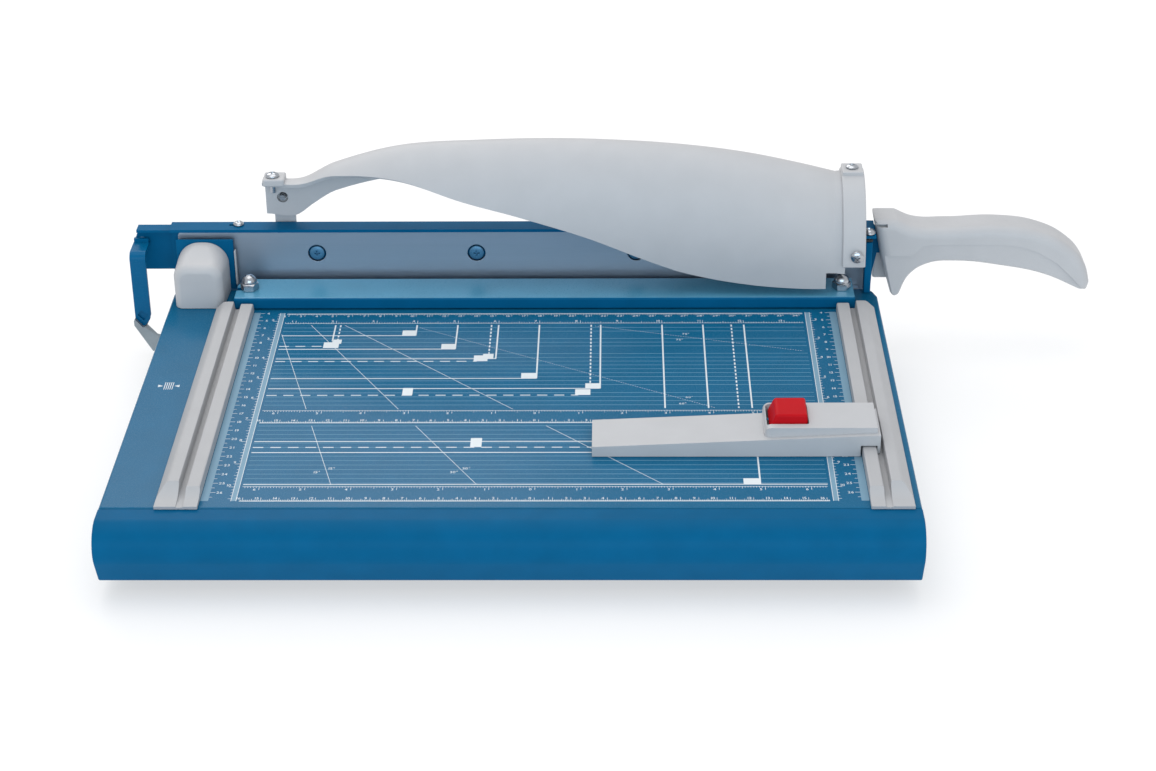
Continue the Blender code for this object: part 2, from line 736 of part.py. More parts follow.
def blade_screws():
    made = []
    for i in range(SCREW_COUNT):
        x = FIRST_SCREW_X + i * SCREW_PITCH
        profile = [(0, -0.5), (4.6, -0.5), (4.6, -2.7), (2.5, -2.9), (2.5, -8.5), (0, -8.5)]
        made.append(turned("blade_screw_%d" % (i + 1), profile, (x, 0, SCREW_Z), BLUE_PAINT, '-Y', 16))
    return made


def handle_outline():
    """Side view of the grip, from the top of its collar clockwise: v is a corner, a is smooth."""
    return [
        (208.0, 47.6, 'v'), (222.0, 47.6, 'v'), (233.9, 42.5, 'a'), (254.0, 41.8, 'a'), (288.0, 42.8, 'a'),
        (313.0, 38.8, 'a'), (332.0, 29.0, 'a'), (343.0, 16.5, 'a'), (HANDLE_TIP, 4.0, 'v'),
        (345.6, -1.6, 'v'), (340.8, -1.4, 'v'), (317.0, 9.4, 'a'), (290.0, 15.4, 'a'), (260.0, 18.7, 'a'),
        (243.5, 17.0, 'a'), (232.5, 9.6, 'a'), (226.0, -4.6, 'v'), (222.9, -6.4, 'v'), (220.6, -4.0, 'v'),
        (213.6, 20.0, 'v'),
    ]


def rounded_slab(knots, half, rounding, resolution):
    """A smooth outline given thickness and rounded edges, as a mesh about its first knot."""
    curve = bpy.data.curves.new("grip", 'CURVE')
    curve.dimensions = '2D'
    curve.fill_mode = 'BOTH'
    curve.resolution_u = resolution
    curve.extrude = (half - rounding) * MM
    curve.bevel_depth = rounding * MM
    curve.bevel_resolution = 2
    curve.offset = -rounding * MM
    spline = curve.splines.new('BEZIER')
    spline.bezier_points.add(len(knots) - 1)
    x0, z0, _ = knots[0]
    for point, (x, z, kind) in zip(spline.bezier_points, knots):
        point.co = ((x - x0) * MM, (z - z0) * MM, 0)
        handle = 'VECTOR' if kind == 'v' else 'AUTO'
        point.handle_left_type = handle
        point.handle_right_type = handle
    spline.use_cyclic_u = True
    return curve_to_mesh(curve)


def slice_mesh(mesh, height, keep_above):
    """Keep one side of a level cut through a mesh, and close it."""
    bm = bmesh.new()
    bm.from_mesh(mesh)
    geometry = bm.verts[:] + bm.edges[:] + bm.faces[:]
    result = bmesh.ops.bisect_plane(bm, geom=geometry, plane_co=(0, 0, height), plane_no=(0, 0, 1),
                                    clear_outer=not keep_above, clear_inner=keep_above)
    rim = [item for item in result["geom_cut"] if isinstance(item, bmesh.types.BMEdge)]
    bmesh.ops.holes_fill(bm, edges=rim)
    bmesh.ops.recalc_face_normals(bm, faces=bm.faces)
    bm.to_mesh(mesh)
    bm.free()


def tang_pocket():
    """Room for the tang between the two halves, open towards the arm."""
    end = TANG_END + 0.6
    outline = [
        (ARM_RIGHT - 4, 44), (COLLAR_WALL_X, 44), (COLLAR_WALL_X, TANG_TOP + 1.8), (end, TANG_TOP + 1.4),
        (end, TANG_BOTTOM - 1.5), (216, 19.5), (ARM_RIGHT - 4, -20),
    ]
    depth = (WEB_FRONT - GAP, WEB_FRONT + WEB_THICKNESS + GAP)
    return slab("tang_pocket", outline, 'Y', depth, GREY_PLASTIC)


def handle():
    """Two moulded halves around the arm's tang."""
    knots = handle_outline()
    x0, z0, _ = knots[0]
    made = []
    for word, above in (("front", True), ("rear", False)):
        mesh = rounded_slab(knots, HANDLE_HALF, HANDLE_ROUNDING, 5)
        side = 1 if above else -1
        slice_mesh(mesh, side * SPLIT_HALF_GAP * MM, above)
        shell = add_part("handle_" + word, mesh, world(x0, HANDLE_MIDDLE, z0), GREY_PLASTIC, FACINGS['Y'])
        made.append(cut(shell, tang_pocket()))
    rear = made[1]
    cheek_outline = [(209.9, 19), (209.9, 0.6), (222, 0.6), (226, 19)]
    cheek = slab("cheek", cheek_outline, 'Y', (8.5, CHEEK_BACK), GREY_PLASTIC)
    bevel(cheek, 1.5, 2)
    weld(rear, cheek)
    return made


def flange_screws():
    """Adjusting screw on the arm's flange and the stop bolt that lands on the buffer."""
    seat = FLANGE_TOP + GAP
    small = pan_screw("flange_screw", (FLANGE_SCREW_X, FLANGE_SCREW_Y, seat), 'Z', (3.4, 2.4), (2.0, 2.0))
    stop = pan_screw("stop_bolt", (STOP_BOLT_X, STOP_BOLT_Y, seat), 'Z', (4.0, 3.0), (2.6, 2.9))
    return [small, stop]


# ---------------------------------------------------------------- guard


CREST = [(-177.5, 74.0), (-154, 73.4), (-132, 84.2), (-90, 95.6), (-40, 98.9), (10, 99.8), (60, 97.8),
         (97, 94.4), (129, 89.6), (160, 82.8), (188, 75.6)]
EDGE_ANGLE = [(-177.5, 10), (-154, 11), (-122, 25), (-88, 38.5), (-55, 51.5), (-15, 62), (28, 73),
              (66, 84.8), (98, 93.8), (129, 99.5), (161, 102.3), (188, 102.3)]
BACK_DROP = [(-177.5, 21), (-160, 21), (-148, 16), (-126, 15), (-60, 18), (60, 22), (188, 22)]


def guard_section(x, front_steps=12, angle=None, offset=0.0):
    """Points (y, z) across the guard at x: up its back, over its crest and down its front."""
    crest = spline_value(CREST, x) + offset
    height = crest - GUARD_AXIS_Z
    reach = GUARD_REACH + offset
    back = GUARD_BACK_Y + offset
    corner = back - GUARD_CREST_Y
    edge = spline_value(EDGE_ANGLE, x) if angle is None else angle
    foot = crest - offset - corner * 0.7 - spline_value(BACK_DROP, x)
    low = crest - corner * 0.7
    points = [(back, foot), (back, (foot + low) / 2)]
    for i in range(5):
        t = math.radians(90 * i / 4)
        points.append((GUARD_CREST_Y + corner * math.cos(t), low + corner * 0.7 * math.sin(t)))
    for i in range(1, front_steps + 1):
        degrees = edge * i / front_steps
        t = math.radians(min(degrees, 90))
        drop = max(degrees - 90, 0)
        points.append((GUARD_CREST_Y - reach * math.sin(t), GUARD_AXIS_Z + height * math.cos(t) - drop))
    return points


def loft(name, stations, section, finish):
    """An open skin through one row of points per station along X."""
    bm = bmesh.new()
    rows = []
    for x in stations:
        rows.append([bm.verts.new(world(x, y, z)) for y, z in section(x)])
    for first, second in zip(rows, rows[1:]):
        for i in range(len(first) - 1):
            bm.faces.new((first[i], first[i + 1], second[i + 1], second[i]))
    bmesh.ops.recalc_face_normals(bm, faces=bm.faces)
    mesh = bpy.data.meshes.new(name)
    bm.to_mesh(mesh)
    bm.free()
    return add_part(name, mesh, (0, 0, 0), finish, smooth_angle=50)


def thicken(obj, wall, outward):
    modifier = obj.modifiers.new("wall", 'SOLIDIFY')
    modifier.thickness = wall * MM
    modifier.offset = outward
    modifier.use_even_offset = True
    return obj


def guard_shell():
    """Finger guard: a long bulging skin that rides on the arm in front of the blade."""
    count = 26
    stations = [GUARD_LEFT + (GUARD_RIGHT - GUARD_LEFT) * i / count for i in range(count + 1)]
    guard = loft("guard_shell", stations, guard_section, GREY_PLASTIC)
    thicken(guard, GUARD_WALL, -1)
    boss = box("tip_boss", (-177.2, -163.6), (-3.6, 9.6), (70.5, TIP_SEAT - GAP), GREY_PLASTIC)
    weld(guard, boss)
    nut_notch = box("nut_notch", (176.5, 200), (-45, -20), (0, 23.5), GREY_PLASTIC)
    tip_hole = rod("tip_hole", 2.3, (TIP_SCREW_X, TIP_SCREW_Y, 0), (60, 90), ZINC, steps=12)
    wall_hole = rod("wall_hole", 3.6, (WALL_SCREW_X, 0, WALL_SCREW_Z), (5, 20), ZINC, 'Y', 14)
    return cut(guard, nut_notch, tip_hole, wall_hole)


def guard_ring():
    """Band that clips the guard's right end to the arm."""
    def section(_):
        return guard_section(GUARD_RIGHT, 9, 86, 0.6)

    ring = loft("guard_ring", [186.0, 200.4], section, GREY_PLASTIC)
    thicken(ring, 3.0, 1)
    foot = [(12.9, 60), (16, 60), (16, 10), (6.9, 10), (6.9, 22), (12.9, 26)]
    leg = slab("ring_leg", foot, 'X', (187.0, 199.4), GREY_PLASTIC)
    pad = box("ring_pad", (186.6, 199.8), (-5, 10), (77, 80.4), GREY_PLASTIC)
    weld(ring, leg, pad)
    upper = rod("upper_bore", SHANK_HOLE, (RING_SCREW_X, RING_SCREW_Y, 0), (60, 90), ZINC, steps=12)
    lower = rod("lower_bore", SHANK_HOLE, (FRONT_SCREW_X, 0, FRONT_SCREW_Z), (-45, -20), ZINC, 'Y', 12)
    return cut(ring, upper, lower)


def guard_bracket():
    """Bent strip from the arm's web up to the guard's left tip."""
    profile = [(12.6, 68), (15, 68), (15, 26), (9.3, 22), (9.3, 10), (6.9, 10), (6.9, 23.5), (12.6, 27.5)]
    strip = slab("guard_bracket", profile, 'X', (-173.2, -159.8), GREY_PLASTIC)
    return cut(strip, rod("strip_hole", SHANK_HOLE, (WALL_SCREW_X, 0, WALL_SCREW_Z), (0, 30), ZINC, 'Y', 12))


def guard_screws():
    tip = pan_screw("tip_screw", (TIP_SCREW_X, TIP_SCREW_Y, TIP_SEAT), 'Z', (4.4, 2.4), (1.8, 11.0))
    at = (RING_SCREW_X, RING_SCREW_Y, RING_SEAT)
    crest = pan_screw("ring_screw_upper", at, 'Z', (4.0, 2.0), (1.8, 5.0))
    at = (FRONT_SCREW_X, -36.0, FRONT_SCREW_Z)
    front = pan_screw("ring_screw_lower", at, '-Y', (4.0, 2.0), (1.8, 4.0))
    at = (WALL_SCREW_X, 15.3, WALL_SCREW_Z)
    wall = pan_screw("bracket_screw", at, 'Y', (3.6, 2.0), (1.8, 7.0))
    return [tip, crest, front, wall]


# ---------------------------------------------------------------- clamp linkage


def link_strap():
    """Bent strap through the tail above, its lower end cut askew and hooked under the clamp lever."""
    low = STRAP_FRONT
    high = STRAP_FRONT + STRAP_THICKNESS
    top = STRAP_Z + 1.2
    under = top - STRAP_THICKNESS
    profile = [
        (high, under - 3), (high + 3, under), (5.5, under), (5.5, top), (high + 1.4, top),
        (low + 1.2, top - 1.2), (low, top - 4), (low, STRAP_BOTTOM + 1), (low + 1, STRAP_BOTTOM),
        (high, STRAP_BOTTOM),
    ]
    half = STRAP_WIDTH / 2
    strap = slab("link_strap", profile, 'X', (STRAP_X - half, STRAP_X + half), BLUE_PAINT)
    bevel(strap, 0.4, 1, 60)
    corner = [
        (STRAP_X + half + 1, -13.9), (STRAP_X + half - 0.2, -13.9), (STRAP_X + 4.3, -16.8),
        (STRAP_X + 0.1, STRAP_BOTTOM), (STRAP_X + 0.1, STRAP_BOTTOM - 2),
        (STRAP_X + half + 1, STRAP_BOTTOM - 2),
    ]
    recess = [(-262.0, -13.6), (-259.4, -10.2), (-255.6, -13.6), (-258.2, -17.6)]
    cut(strap, slab("strap_corner", corner, 'Y', (low - 3, high + 3), BLUE_PAINT),
        slab("strap_recess", recess, 'Y', (low - 3, low + 1.2), BLUE_PAINT))
    inner = half - 0.5
    shoulder = box("strap_shoulder", (STRAP_X - inner, STRAP_X + inner), (3.2, 5.5), (under - 0.5, 32.0),
                   BLUE_PAINT)
    neck = box("strap_neck", (STRAP_X - 2, STRAP_X + 2), (4, 11), (under + 0.1, top - 0.1), BLUE_PAINT)
    head = box("strap_head", (STRAP_X - 5, STRAP_X + 5), (9.8, 12), (under - 0.2, top + 0.2), BLUE_PAINT)
    hook = box("strap_hook", (STRAP_X - half + 0.2, STRAP_X - 2.5), (low + 1, -8.9),
               (STRAP_BOTTOM + 0.05, STRAP_BOTTOM + 2.5), BLUE_PAINT)
    return weld(strap, shoulder, neck, head, hook)


def clamp_lever():
    """Rocking lever under the table: two cheeks hold the strap's hook and its inner end frees the yoke."""
    seat = STRAP_BOTTOM + 2.5 + GAP
    claw = STRAP_X - 5.2
    neck = STRAP_X - 2.2
    outline = [
        (claw, seat), (claw, seat + 3.2), (claw + 1.6, seat + 5.2), (STRAP_X + 3.5, seat + 5.2),
        (STRAP_X + 3.7, -18), (STRAP_X + 1.1, -22.9), (-251.6, -29.9), (-244, -31.5), (-236, -30),
        (-224, -18.5),
        (LEVER_X, -15.5), (-204, -18), (-186, -21.5), (NOSE_X + 3.3, -24), (NOSE_X, YOKE_TOP + GAP),
        (-YOKE_END - 0.3, YOKE_TOP + 1.7), (-YOKE_END - 1.6, YOKE_TOP), (-207, -31.5), (-222, -35.5),
        (-238, -40), (-254.5, -38.4), (neck, -26), (neck, seat),
    ]
    lever = slab("clamp_lever", outline, 'Y', (LEVER_FRONT, LEVER_FRONT + LEVER_THICKNESS), LEVER_STEEL)
    face = [
        (LEFT_END, -19.8), (LEFT_END, -16.6), (LEFT_END + 0.5, -15.7), (LEFT_END + 1.1, -15.9),
        (-258.9, -21.2), (-257.6, -20.9), (-250.1, -27.0), (-247.4, -28.6), (-247.4, -38.4), (-253.9, -38.0),
        (-259.8, -27.6),
    ]
    back = STRAP_FRONT - GAP
    cheek = slab("lever_cheek", face, 'Y', (back - CHEEK_THICKNESS, back), LEVER_STEEL)
    bridge = box("lever_bridge", (-251.8, -247.6), (back - 1, LEVER_FRONT + 1), (-37.4, -30.6), LEVER_STEEL)
    weld(lever, cheek, bridge)
    return cut(lever, rod("lever_bore", ROD_RADIUS + GAP, (LEVER_X, 0, LEVER_Z), (-30, 10), ZINC, 'Y'))


def lever_mount():
    """Hanger under the table and the axle that the clamp lever rocks on."""
    profile = [(-30, -5), (-17, -5), (-17, -33), (-14.8, -33), (-14.8, -2.8), (-30, -2.8)]
    hanger = slab("lever_hanger", profile, 'X', (-223, -205), ZINC)
    cut(hanger, rod("hanger_bore", ROD_RADIUS + GAP, (LEVER_X, 0, LEVER_Z), (-30, 10), ZINC, 'Y'))
    head = -19.5
    profile = [(0, -8.2), (ROD_RADIUS, -8.2), (ROD_RADIUS, -17.3), (5, -17.3), (5, head), (0, head)]
    turned("lever_axle", profile, (LEVER_X, 0, LEVER_Z), ZINC, 'Y', 16)


# ---------------------------------------------------------------- back gauge


def gauge_body():
    """Sliding stop: a tapered arm across the table and a raised block over the right guide."""
    low = GAP
    arm_top = 6.5
    slope = 0.0447
    notch_left = GUIDE_INNER - 1
    end_top = arm_top + slope * (GAUGE_RIGHT - GAUGE_LEFT)
    outline = [
        (GAUGE_LEFT, low), (GAUGE_LEFT, arm_top), (GAUGE_RIGHT, end_top), (GAUGE_RIGHT, 2.3),
        (GROOVE_INNER + 0.5, 2.3), (GROOVE_INNER + 0.5, RIDGE_TOP + 0.9), (notch_left, RIDGE_TOP + 0.9),
        (notch_left, low),
    ]
    body = slab("gauge_body", outline, 'Y', (GAUGE_FRONT, GAUGE_BACK), GREY_PLASTIC)
    bevel(body, 0.6, 2, 60)
    height = (RIDGE_TOP + 1.4, BLOCK_TOP)
    block = box("gauge_block", (BLOCK_LEFT, BLOCK_RIGHT), (-218.2, -188.5), height, GREY_PLASTIC, 2.2, 3)
    weld(body, block)
    half = BUTTON_WIDTH / 2 + 0.5
    deep = BUTTON_DEPTH / 2 + 0.4
    well = box("button_well", (BUTTON_X - half, BUTTON_X + half), (BUTTON_Y - deep, BUTTON_Y + deep),
               (WELL_FLOOR, 30), GREY_PLASTIC)
    pocket = box("brake_pocket", (184.2, 190.6), (-211, -199), (2, 9.6), GREY_PLASTIC)
    return cut(body, well, pocket)


def brake_pad():
    return box("gauge_brake_pad", (184.6, 190.2), (-210.6, -199.4), (RIDGE_TOP + GAP, 9.3), BLACK_RUBBER)


def gauge_button():
    """Release button: a block that narrows to its top, mostly on its left side."""
    bm = bmesh.new()
    bmesh.ops.create_cube(bm, size=1)
    size = Vector((BUTTON_WIDTH, BUTTON_DEPTH, BUTTON_TOP - BUTTON_BOTTOM)) * MM
    bmesh.ops.scale(bm, vec=size, verts=bm.verts)
    for vertex in bm.verts:
        if vertex.co.z > 0:
            vertex.co.x = vertex.co.x * 0.8 + 1.9 * MM
            vertex.co.y = vertex.co.y * 0.94 + 0.5 * MM
    mesh = bpy.data.meshes.new("gauge_button")
    bm.to_mesh(mesh)
    bm.free()
    middle = (BUTTON_TOP + BUTTON_BOTTOM) / 2
    button = add_part("gauge_button", mesh, world(BUTTON_X, BUTTON_Y, middle), RED_PLASTIC)
    return bevel(button, 1.2, 2)


def button_spring():
    low = WELL_FLOOR + GAP
    high = BUTTON_BOTTOM - GAP
    return coil("button_spring", (BUTTON_X, BUTTON_Y), 4.5, SPRING_WIRE, low, high, 4, ZINC)


# ---------------------------------------------------------------- assembly


def build_base():
    base_table()
    front_shell()
    guide("left_guide", -1)
    guide("right_guide", 1)
    bed_knife()
    stop_post()
    cross_rails()
    feet()
    pivot_bracket()
    pivot_cap()
    pivot_bolt()
    lever_mount()


def build_clamp():
    slide = axis_empty("clamp_slide_axis", world(0, ROD_Y, 0))
    pieces = [clamp_bar(), clamp_pad(), clamp_yoke()] + clamp_rods() + clamp_springs()
    hang_on(slide, *pieces)


def build_arm():
    pivot = axis_empty("arm_pivot_axis", world(PIVOT_X, 0, PIVOT_Z))
    pieces = [arm_beam(), arm_tail(), blade(), guard_shell(), guard_ring(), guard_bracket()]
    pieces += blade_screws() + handle() + flange_screws() + guard_screws()
    hang_on(pivot, *pieces)


def build_linkage():
    hang_on(axis_empty("strap_axis", world(STRAP_X, 0, STRAP_Z)), link_strap())
    hang_on(axis_empty("lever_axis", world(LEVER_X, 0, LEVER_Z)), clamp_lever())


def build_gauge():
    slide = axis_empty("gauge_slide_axis", world(GROOVE_INNER, BUTTON_Y, 0))
    hang_on(slide, gauge_body(), brake_pad())
    press = axis_empty("button_axis", world(BUTTON_X, BUTTON_Y, WELL_FLOOR))
    hang_on(press, gauge_button(), button_spring())


clear_scene()
parts = new_collection("guillotine_paper_cutter")
cutters = new_collection("cutters")
build_base()
build_clamp()
build_arm()
build_linkage()
build_gauge()
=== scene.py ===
"""Looks of the guillotine paper cutter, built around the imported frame.

at() takes millimetres in the table's own frame: X from the middle of the two guide rails, Y from the
cutting plane (negative towards the user), Z from the paper table.  The frame's boxes place that frame.
"""
from functools import cache
from math import ceil, cos, pi, radians, sin, sqrt, tan

import bmesh
import bpy
from mathutils import Matrix, Vector


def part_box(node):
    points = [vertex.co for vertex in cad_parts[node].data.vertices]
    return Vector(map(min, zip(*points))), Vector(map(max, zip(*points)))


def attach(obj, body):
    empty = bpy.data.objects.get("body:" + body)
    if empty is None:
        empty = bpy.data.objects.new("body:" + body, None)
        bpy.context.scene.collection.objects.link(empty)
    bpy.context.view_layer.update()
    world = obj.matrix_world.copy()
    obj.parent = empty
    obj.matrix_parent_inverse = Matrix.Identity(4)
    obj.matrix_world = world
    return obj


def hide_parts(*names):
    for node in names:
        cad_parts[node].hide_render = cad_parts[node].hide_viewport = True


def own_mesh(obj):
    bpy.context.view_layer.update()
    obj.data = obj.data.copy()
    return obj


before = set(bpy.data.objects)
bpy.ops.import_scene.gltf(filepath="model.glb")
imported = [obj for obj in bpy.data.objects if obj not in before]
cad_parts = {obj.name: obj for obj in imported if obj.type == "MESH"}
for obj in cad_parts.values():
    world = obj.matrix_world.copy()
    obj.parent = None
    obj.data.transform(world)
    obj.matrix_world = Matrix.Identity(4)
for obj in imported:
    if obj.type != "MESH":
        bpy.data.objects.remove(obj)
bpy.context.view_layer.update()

MM = 0.001
MID_X = (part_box("left_guide")[0].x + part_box("right_guide")[1].x) / 2
CUT_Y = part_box("blade")[0].y - 0.3 * MM
TABLE_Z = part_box("base_table")[1].z


def at(x, y, z):
    return Vector((MID_X + x * MM, CUT_Y + y * MM, TABLE_Z + z * MM))


def span(node):
    """A node's low and high corners in the table's frame, in millimetres."""
    origin = at(0, 0, 0)
    low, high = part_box(node)
    return (low - origin) / MM, (high - origin) / MM


# Materials


MOTTLE_SCALE = 60.0
NOISE_LOW, NOISE_HIGH = 0.3, 0.7
GLOSS_SPREAD = 0.12
GRAIN_DEPTH = 0.0001


def shader_node(tree, kind, values, linked):
    """A node with some inputs set and others linked to the given sockets."""
    node = tree.nodes.new("ShaderNode" + kind)
    for name, value in values.items():
        node.inputs[name].default_value = value
    for name, socket in linked.items():
        tree.links.new(socket, node.inputs[name])
    return node


def noise(tree, scale, detail, stretch):
    place = shader_node(tree, "TexCoord", {}, {}).outputs["Object"]
    mapped = shader_node(tree, "Mapping", {"Scale": stretch}, {"Vector": place}).outputs["Vector"]
    values = {"Scale": scale, "Detail": detail}
    return shader_node(tree, "TexNoise", values, {"Vector": mapped}).outputs["Fac"]


def textured(name, colour, roughness, grain=1500, bump=0.10, spread=0.05, metallic=0.0, specular=0.5,
             stretch=(1, 1, 1)):
    """A finish with mottled colour, uneven gloss and a fine surface grain."""
    material = bpy.data.materials.new(name)
    material.use_nodes = True
    tree = material.node_tree
    shader = tree.nodes["Principled BSDF"]
    shader.inputs["Metallic"].default_value = metallic
    shader.inputs["Specular IOR Level"].default_value = specular
    ramp = shader_node(tree, "ValToRGB", {}, {"Fac": noise(tree, MOTTLE_SCALE, 4.0, stretch)})
    marks = zip(ramp.color_ramp.elements, (NOISE_LOW, NOISE_HIGH), (1 - spread, 1 + spread))
    for mark, place, factor in marks:
        mark.position = place
        mark.color = (*(channel * factor for channel in colour), 1)
    fine = noise(tree, grain, 2.0, stretch)
    limits = {"From Min": NOISE_LOW, "From Max": NOISE_HIGH,
              "To Min": roughness * (1 - GLOSS_SPREAD), "To Max": roughness * (1 + GLOSS_SPREAD)}
    gloss = shader_node(tree, "MapRange", limits, {"Value": fine})
    relief = shader_node(tree, "Bump", {"Strength": bump, "Distance": GRAIN_DEPTH}, {"Height": fine})
    tree.links.new(ramp.outputs["Color"], shader.inputs["Base Color"])
    tree.links.new(gloss.outputs["Result"], shader.inputs["Roughness"])
    tree.links.new(relief.outputs["Normal"], shader.inputs["Normal"])
    return material


PAINT = textured("blue_powder_coat", (0.0010, 0.094, 0.214), 0.38, bump=0.14, specular=0.04)
PAINT_EDGE = textured("blue_strap_paint", (0.001, 0.100, 0.226), 0.26, specular=0.10)
# A lighter copy of the blue paint: a painted highlight for the light falling on the clamp bar's top.
BLUE_PAINTED_HIGHLIGHT = textured("blue_powder_coat_painted_highlight", (0.070, 0.285, 0.440), 0.30, specular=0.9)
PAINT_TOP = textured("blue_printed_table", (0.005, 0.108, 0.218), 0.26, grain=1800, bump=0.06, spread=0.04,
                     specular=0.11)
PLASTIC = textured("light_grey_moulding", (0.455, 0.458, 0.468), 0.46, grain=2200, spread=0.02,
                   specular=0.30)
RAIL_PLASTIC = textured("rail_grey_moulding", (0.400, 0.402, 0.410), 0.50, grain=2200, spread=0.02,
                        specular=0.25)
RED = textured("red_moulding", (0.445, 0.005, 0.010), 0.36, grain=2200, bump=0.08, spread=0.04,
               specular=0.05)
RUBBER = textured("black_rubber", (0.020, 0.020, 0.022), 0.72, grain=900, bump=0.30, spread=0.20)
BLADE = textured("ground_blade_steel", (0.370, 0.430, 0.500), 0.46, grain=900, bump=0.06, spread=0.03,
                 metallic=1.0, stretch=(0.10, 1, 3))
SCREW_PAINT = textured("screw_blue", (0.060, 0.190, 0.320), 0.34, metallic=0.3)
ZINC = textured("bright_zinc", (0.43, 0.45, 0.48), 0.24, grain=900, bump=0.06, spread=0.06, metallic=1.0)
DULL_ZINC = textured("dull_zinc", (0.270, 0.310, 0.335), 0.48, grain=700, bump=0.12, spread=0.10,
                     metallic=0.6)
INK, FAINT_INK, BAND_INK = (
    textured(name, colour, roughness, grain=2500, bump=0.05, spread=0.02, specular=0.2)
    for name, colour, roughness in (
        ("white_ink", (0.66, 0.70, 0.72), 0.50), ("faint_ink", (0.110, 0.270, 0.390), 0.48),
        ("band_ink", (0.170, 0.300, 0.400), 0.46),
    )
)


# Mesh builders


SHARP_ANGLE = 35
WELD = 5e-7
SQUARE = ((-1, -1), (1, -1), (1, 1), (-1, 1))
BOX_FACES = [(0, 1, 2, 3), (4, 5, 6, 7), (0, 1, 5, 4), (1, 2, 6, 5), (2, 3, 7, 6), (3, 0, 4, 7)]


def placed(name, data):
    obj = bpy.data.objects.new(name, data)
    bpy.context.scene.collection.objects.link(obj)
    return obj


def finished_mesh(obj):
    """The object's mesh with its modifiers applied."""
    graph = bpy.context.evaluated_depsgraph_get()
    return bpy.data.meshes.new_from_object(obj.evaluated_get(graph))


def mesh_object(name, vertices, faces, material, smooth_angle=SHARP_ANGLE):
    mesh = bpy.data.meshes.new(name)
    mesh.from_pydata([tuple(v) for v in vertices], [], faces)
    bm = bmesh.new()
    bm.from_mesh(mesh)
    bmesh.ops.recalc_face_normals(bm, faces=bm.faces)
    bm.to_mesh(mesh)
    bm.free()
    mesh.materials.append(material)
    obj = placed(name, mesh)
    smooth(obj, smooth_angle)
    return obj


def smooth(obj, angle):
    obj.data.shade_smooth()
    obj.data.set_sharp_from_angle(angle=radians(angle))


def rounded(obj, width, segments=3, angle=SHARP_ANGLE):
    modifier = obj.modifiers.new("rounded edges", 'BEVEL')
    modifier.width = width * MM
    modifier.segments = segments
    modifier.limit_method = 'ANGLE'
    modifier.angle_limit = radians(angle)
    return obj


def bake(obj, angle=SHARP_ANGLE):
    """Apply the modifiers, so that what follows works on the finished mesh."""
    mesh = finished_mesh(obj)
    obj.modifiers.clear()
    obj.data = mesh
    smooth(obj, angle)
    return obj


def combine(obj, tools, operation='DIFFERENCE'):
    for tool in tools:
        modifier = obj.modifiers.new(tool.name, 'BOOLEAN')
        modifier.object = tool
        modifier.operation = operation
        modifier.solver = 'EXACT'
    bake(obj)
    for tool in tools:
        bpy.data.objects.remove(tool)
    return obj


def mend(obj):
    """Weld points closer than half a micron and close what is left open."""
    bm = bmesh.new()
    bm.from_mesh(obj.data)
    bmesh.ops.remove_doubles(bm, verts=bm.verts, dist=WELD)
    bmesh.ops.dissolve_degenerate(bm, edges=bm.edges, dist=1e-7)
    rims = [edge for edge in bm.edges if edge.is_boundary]
    if rims:
        bmesh.ops.holes_fill(bm, edges=rims, sides=8)
    bm.to_mesh(obj.data)
    bm.free()


def prism(name, outline, facing, reach, material=None, smooth_angle=SHARP_ANGLE):
    """A flat outline given thickness: (y, z) facing X, (x, z) facing Y and (x, y) facing Z.

    What only cuts or is welded on needs no material.
    """
    def place(u, v, w):
        return {'X': (w, u, v), 'Y': (u, w, v), 'Z': (u, v, w)}[facing]

    count = len(outline)
    vertices = [at(*place(u, v, w)) for w in reach for u, v in outline]
    faces = [tuple(range(count)), tuple(range(count, 2 * count))]
    for i in range(count):
        j = (i + 1) % count
        faces.append((i, j, count + j, count + i))
    return mesh_object(name, vertices, faces, material, smooth_angle)


def block(name, x, y, z, material=None):
    return prism(name, [(x[0], y[0]), (x[1], y[0]), (x[1], y[1]), (x[0], y[1])], 'Z', z, material)


def node_block(name, node, material):
    low, high = span(node)
    return block(name, (low.x, high.x), (low.y, high.y), (low.z, high.z), material)


AXES = {
    'Z': Matrix.Identity(3),
    'Y': Matrix(((1, 0, 0), (0, 0, 1), (0, -1, 0))),
    '-Y': Matrix(((1, 0, 0), (0, 0, -1), (0, 1, 0))),
}


def lathe(name, profile, place, material, facing='Z', steps=48):
    """A closed turned piece from (radius, height) rows, both ends on the axis."""
    turn = AXES[facing]
    centre = at(*place)
    vertices = []
    rings = []
    for radius, height in profile:
        first = len(vertices)
        for i in range(steps if radius else 1):
            angle = 2 * pi * i / steps
            local = Vector((radius * cos(angle), radius * sin(angle), height)) * MM
            vertices.append(centre + turn @ local)
        rings.append(range(first, len(vertices)))
    faces = []
    for first, second in zip(rings, rings[1:]):
        for i in range(steps):
            j = (i + 1) % steps
            corners = [ring[k % len(ring)] for ring, k in ((first, i), (first, j), (second, j), (second, i))]
            faces.append(tuple(dict.fromkeys(corners)))
    return mesh_object(name, vertices, faces, material)


def bore(name, place, radius, low, high, facing='Y'):
    """Round cutter along the axis that it faces, from low to high."""
    return lathe(name, [(0, high), (radius, high), (radius, low), (0, low)], place, None, facing)


def woven(rows):
    """Vertices and faces of a sheet through rows of equally many points."""
    width = len(rows[0])
    faces = []
    for r in range(len(rows) - 1):
        for i in range(width - 1):
            a = r * width + i
            faces.append((a, a + 1, a + width + 1, a + width))
    return [v for row in rows for v in row], faces


def arc(centre, radius, start, end, steps):
    cx, cy = centre
    points = []
    for i in range(steps + 1):
        angle = radians(start + (end - start) * i / steps)
        points.append((cx + radius * cos(angle), cy + radius * sin(angle)))
    return points


def eased(value):
    """Smooth step from 0 to 1."""
    t = min(max(value, 0), 1)
    return t * t * (3 - 2 * t)


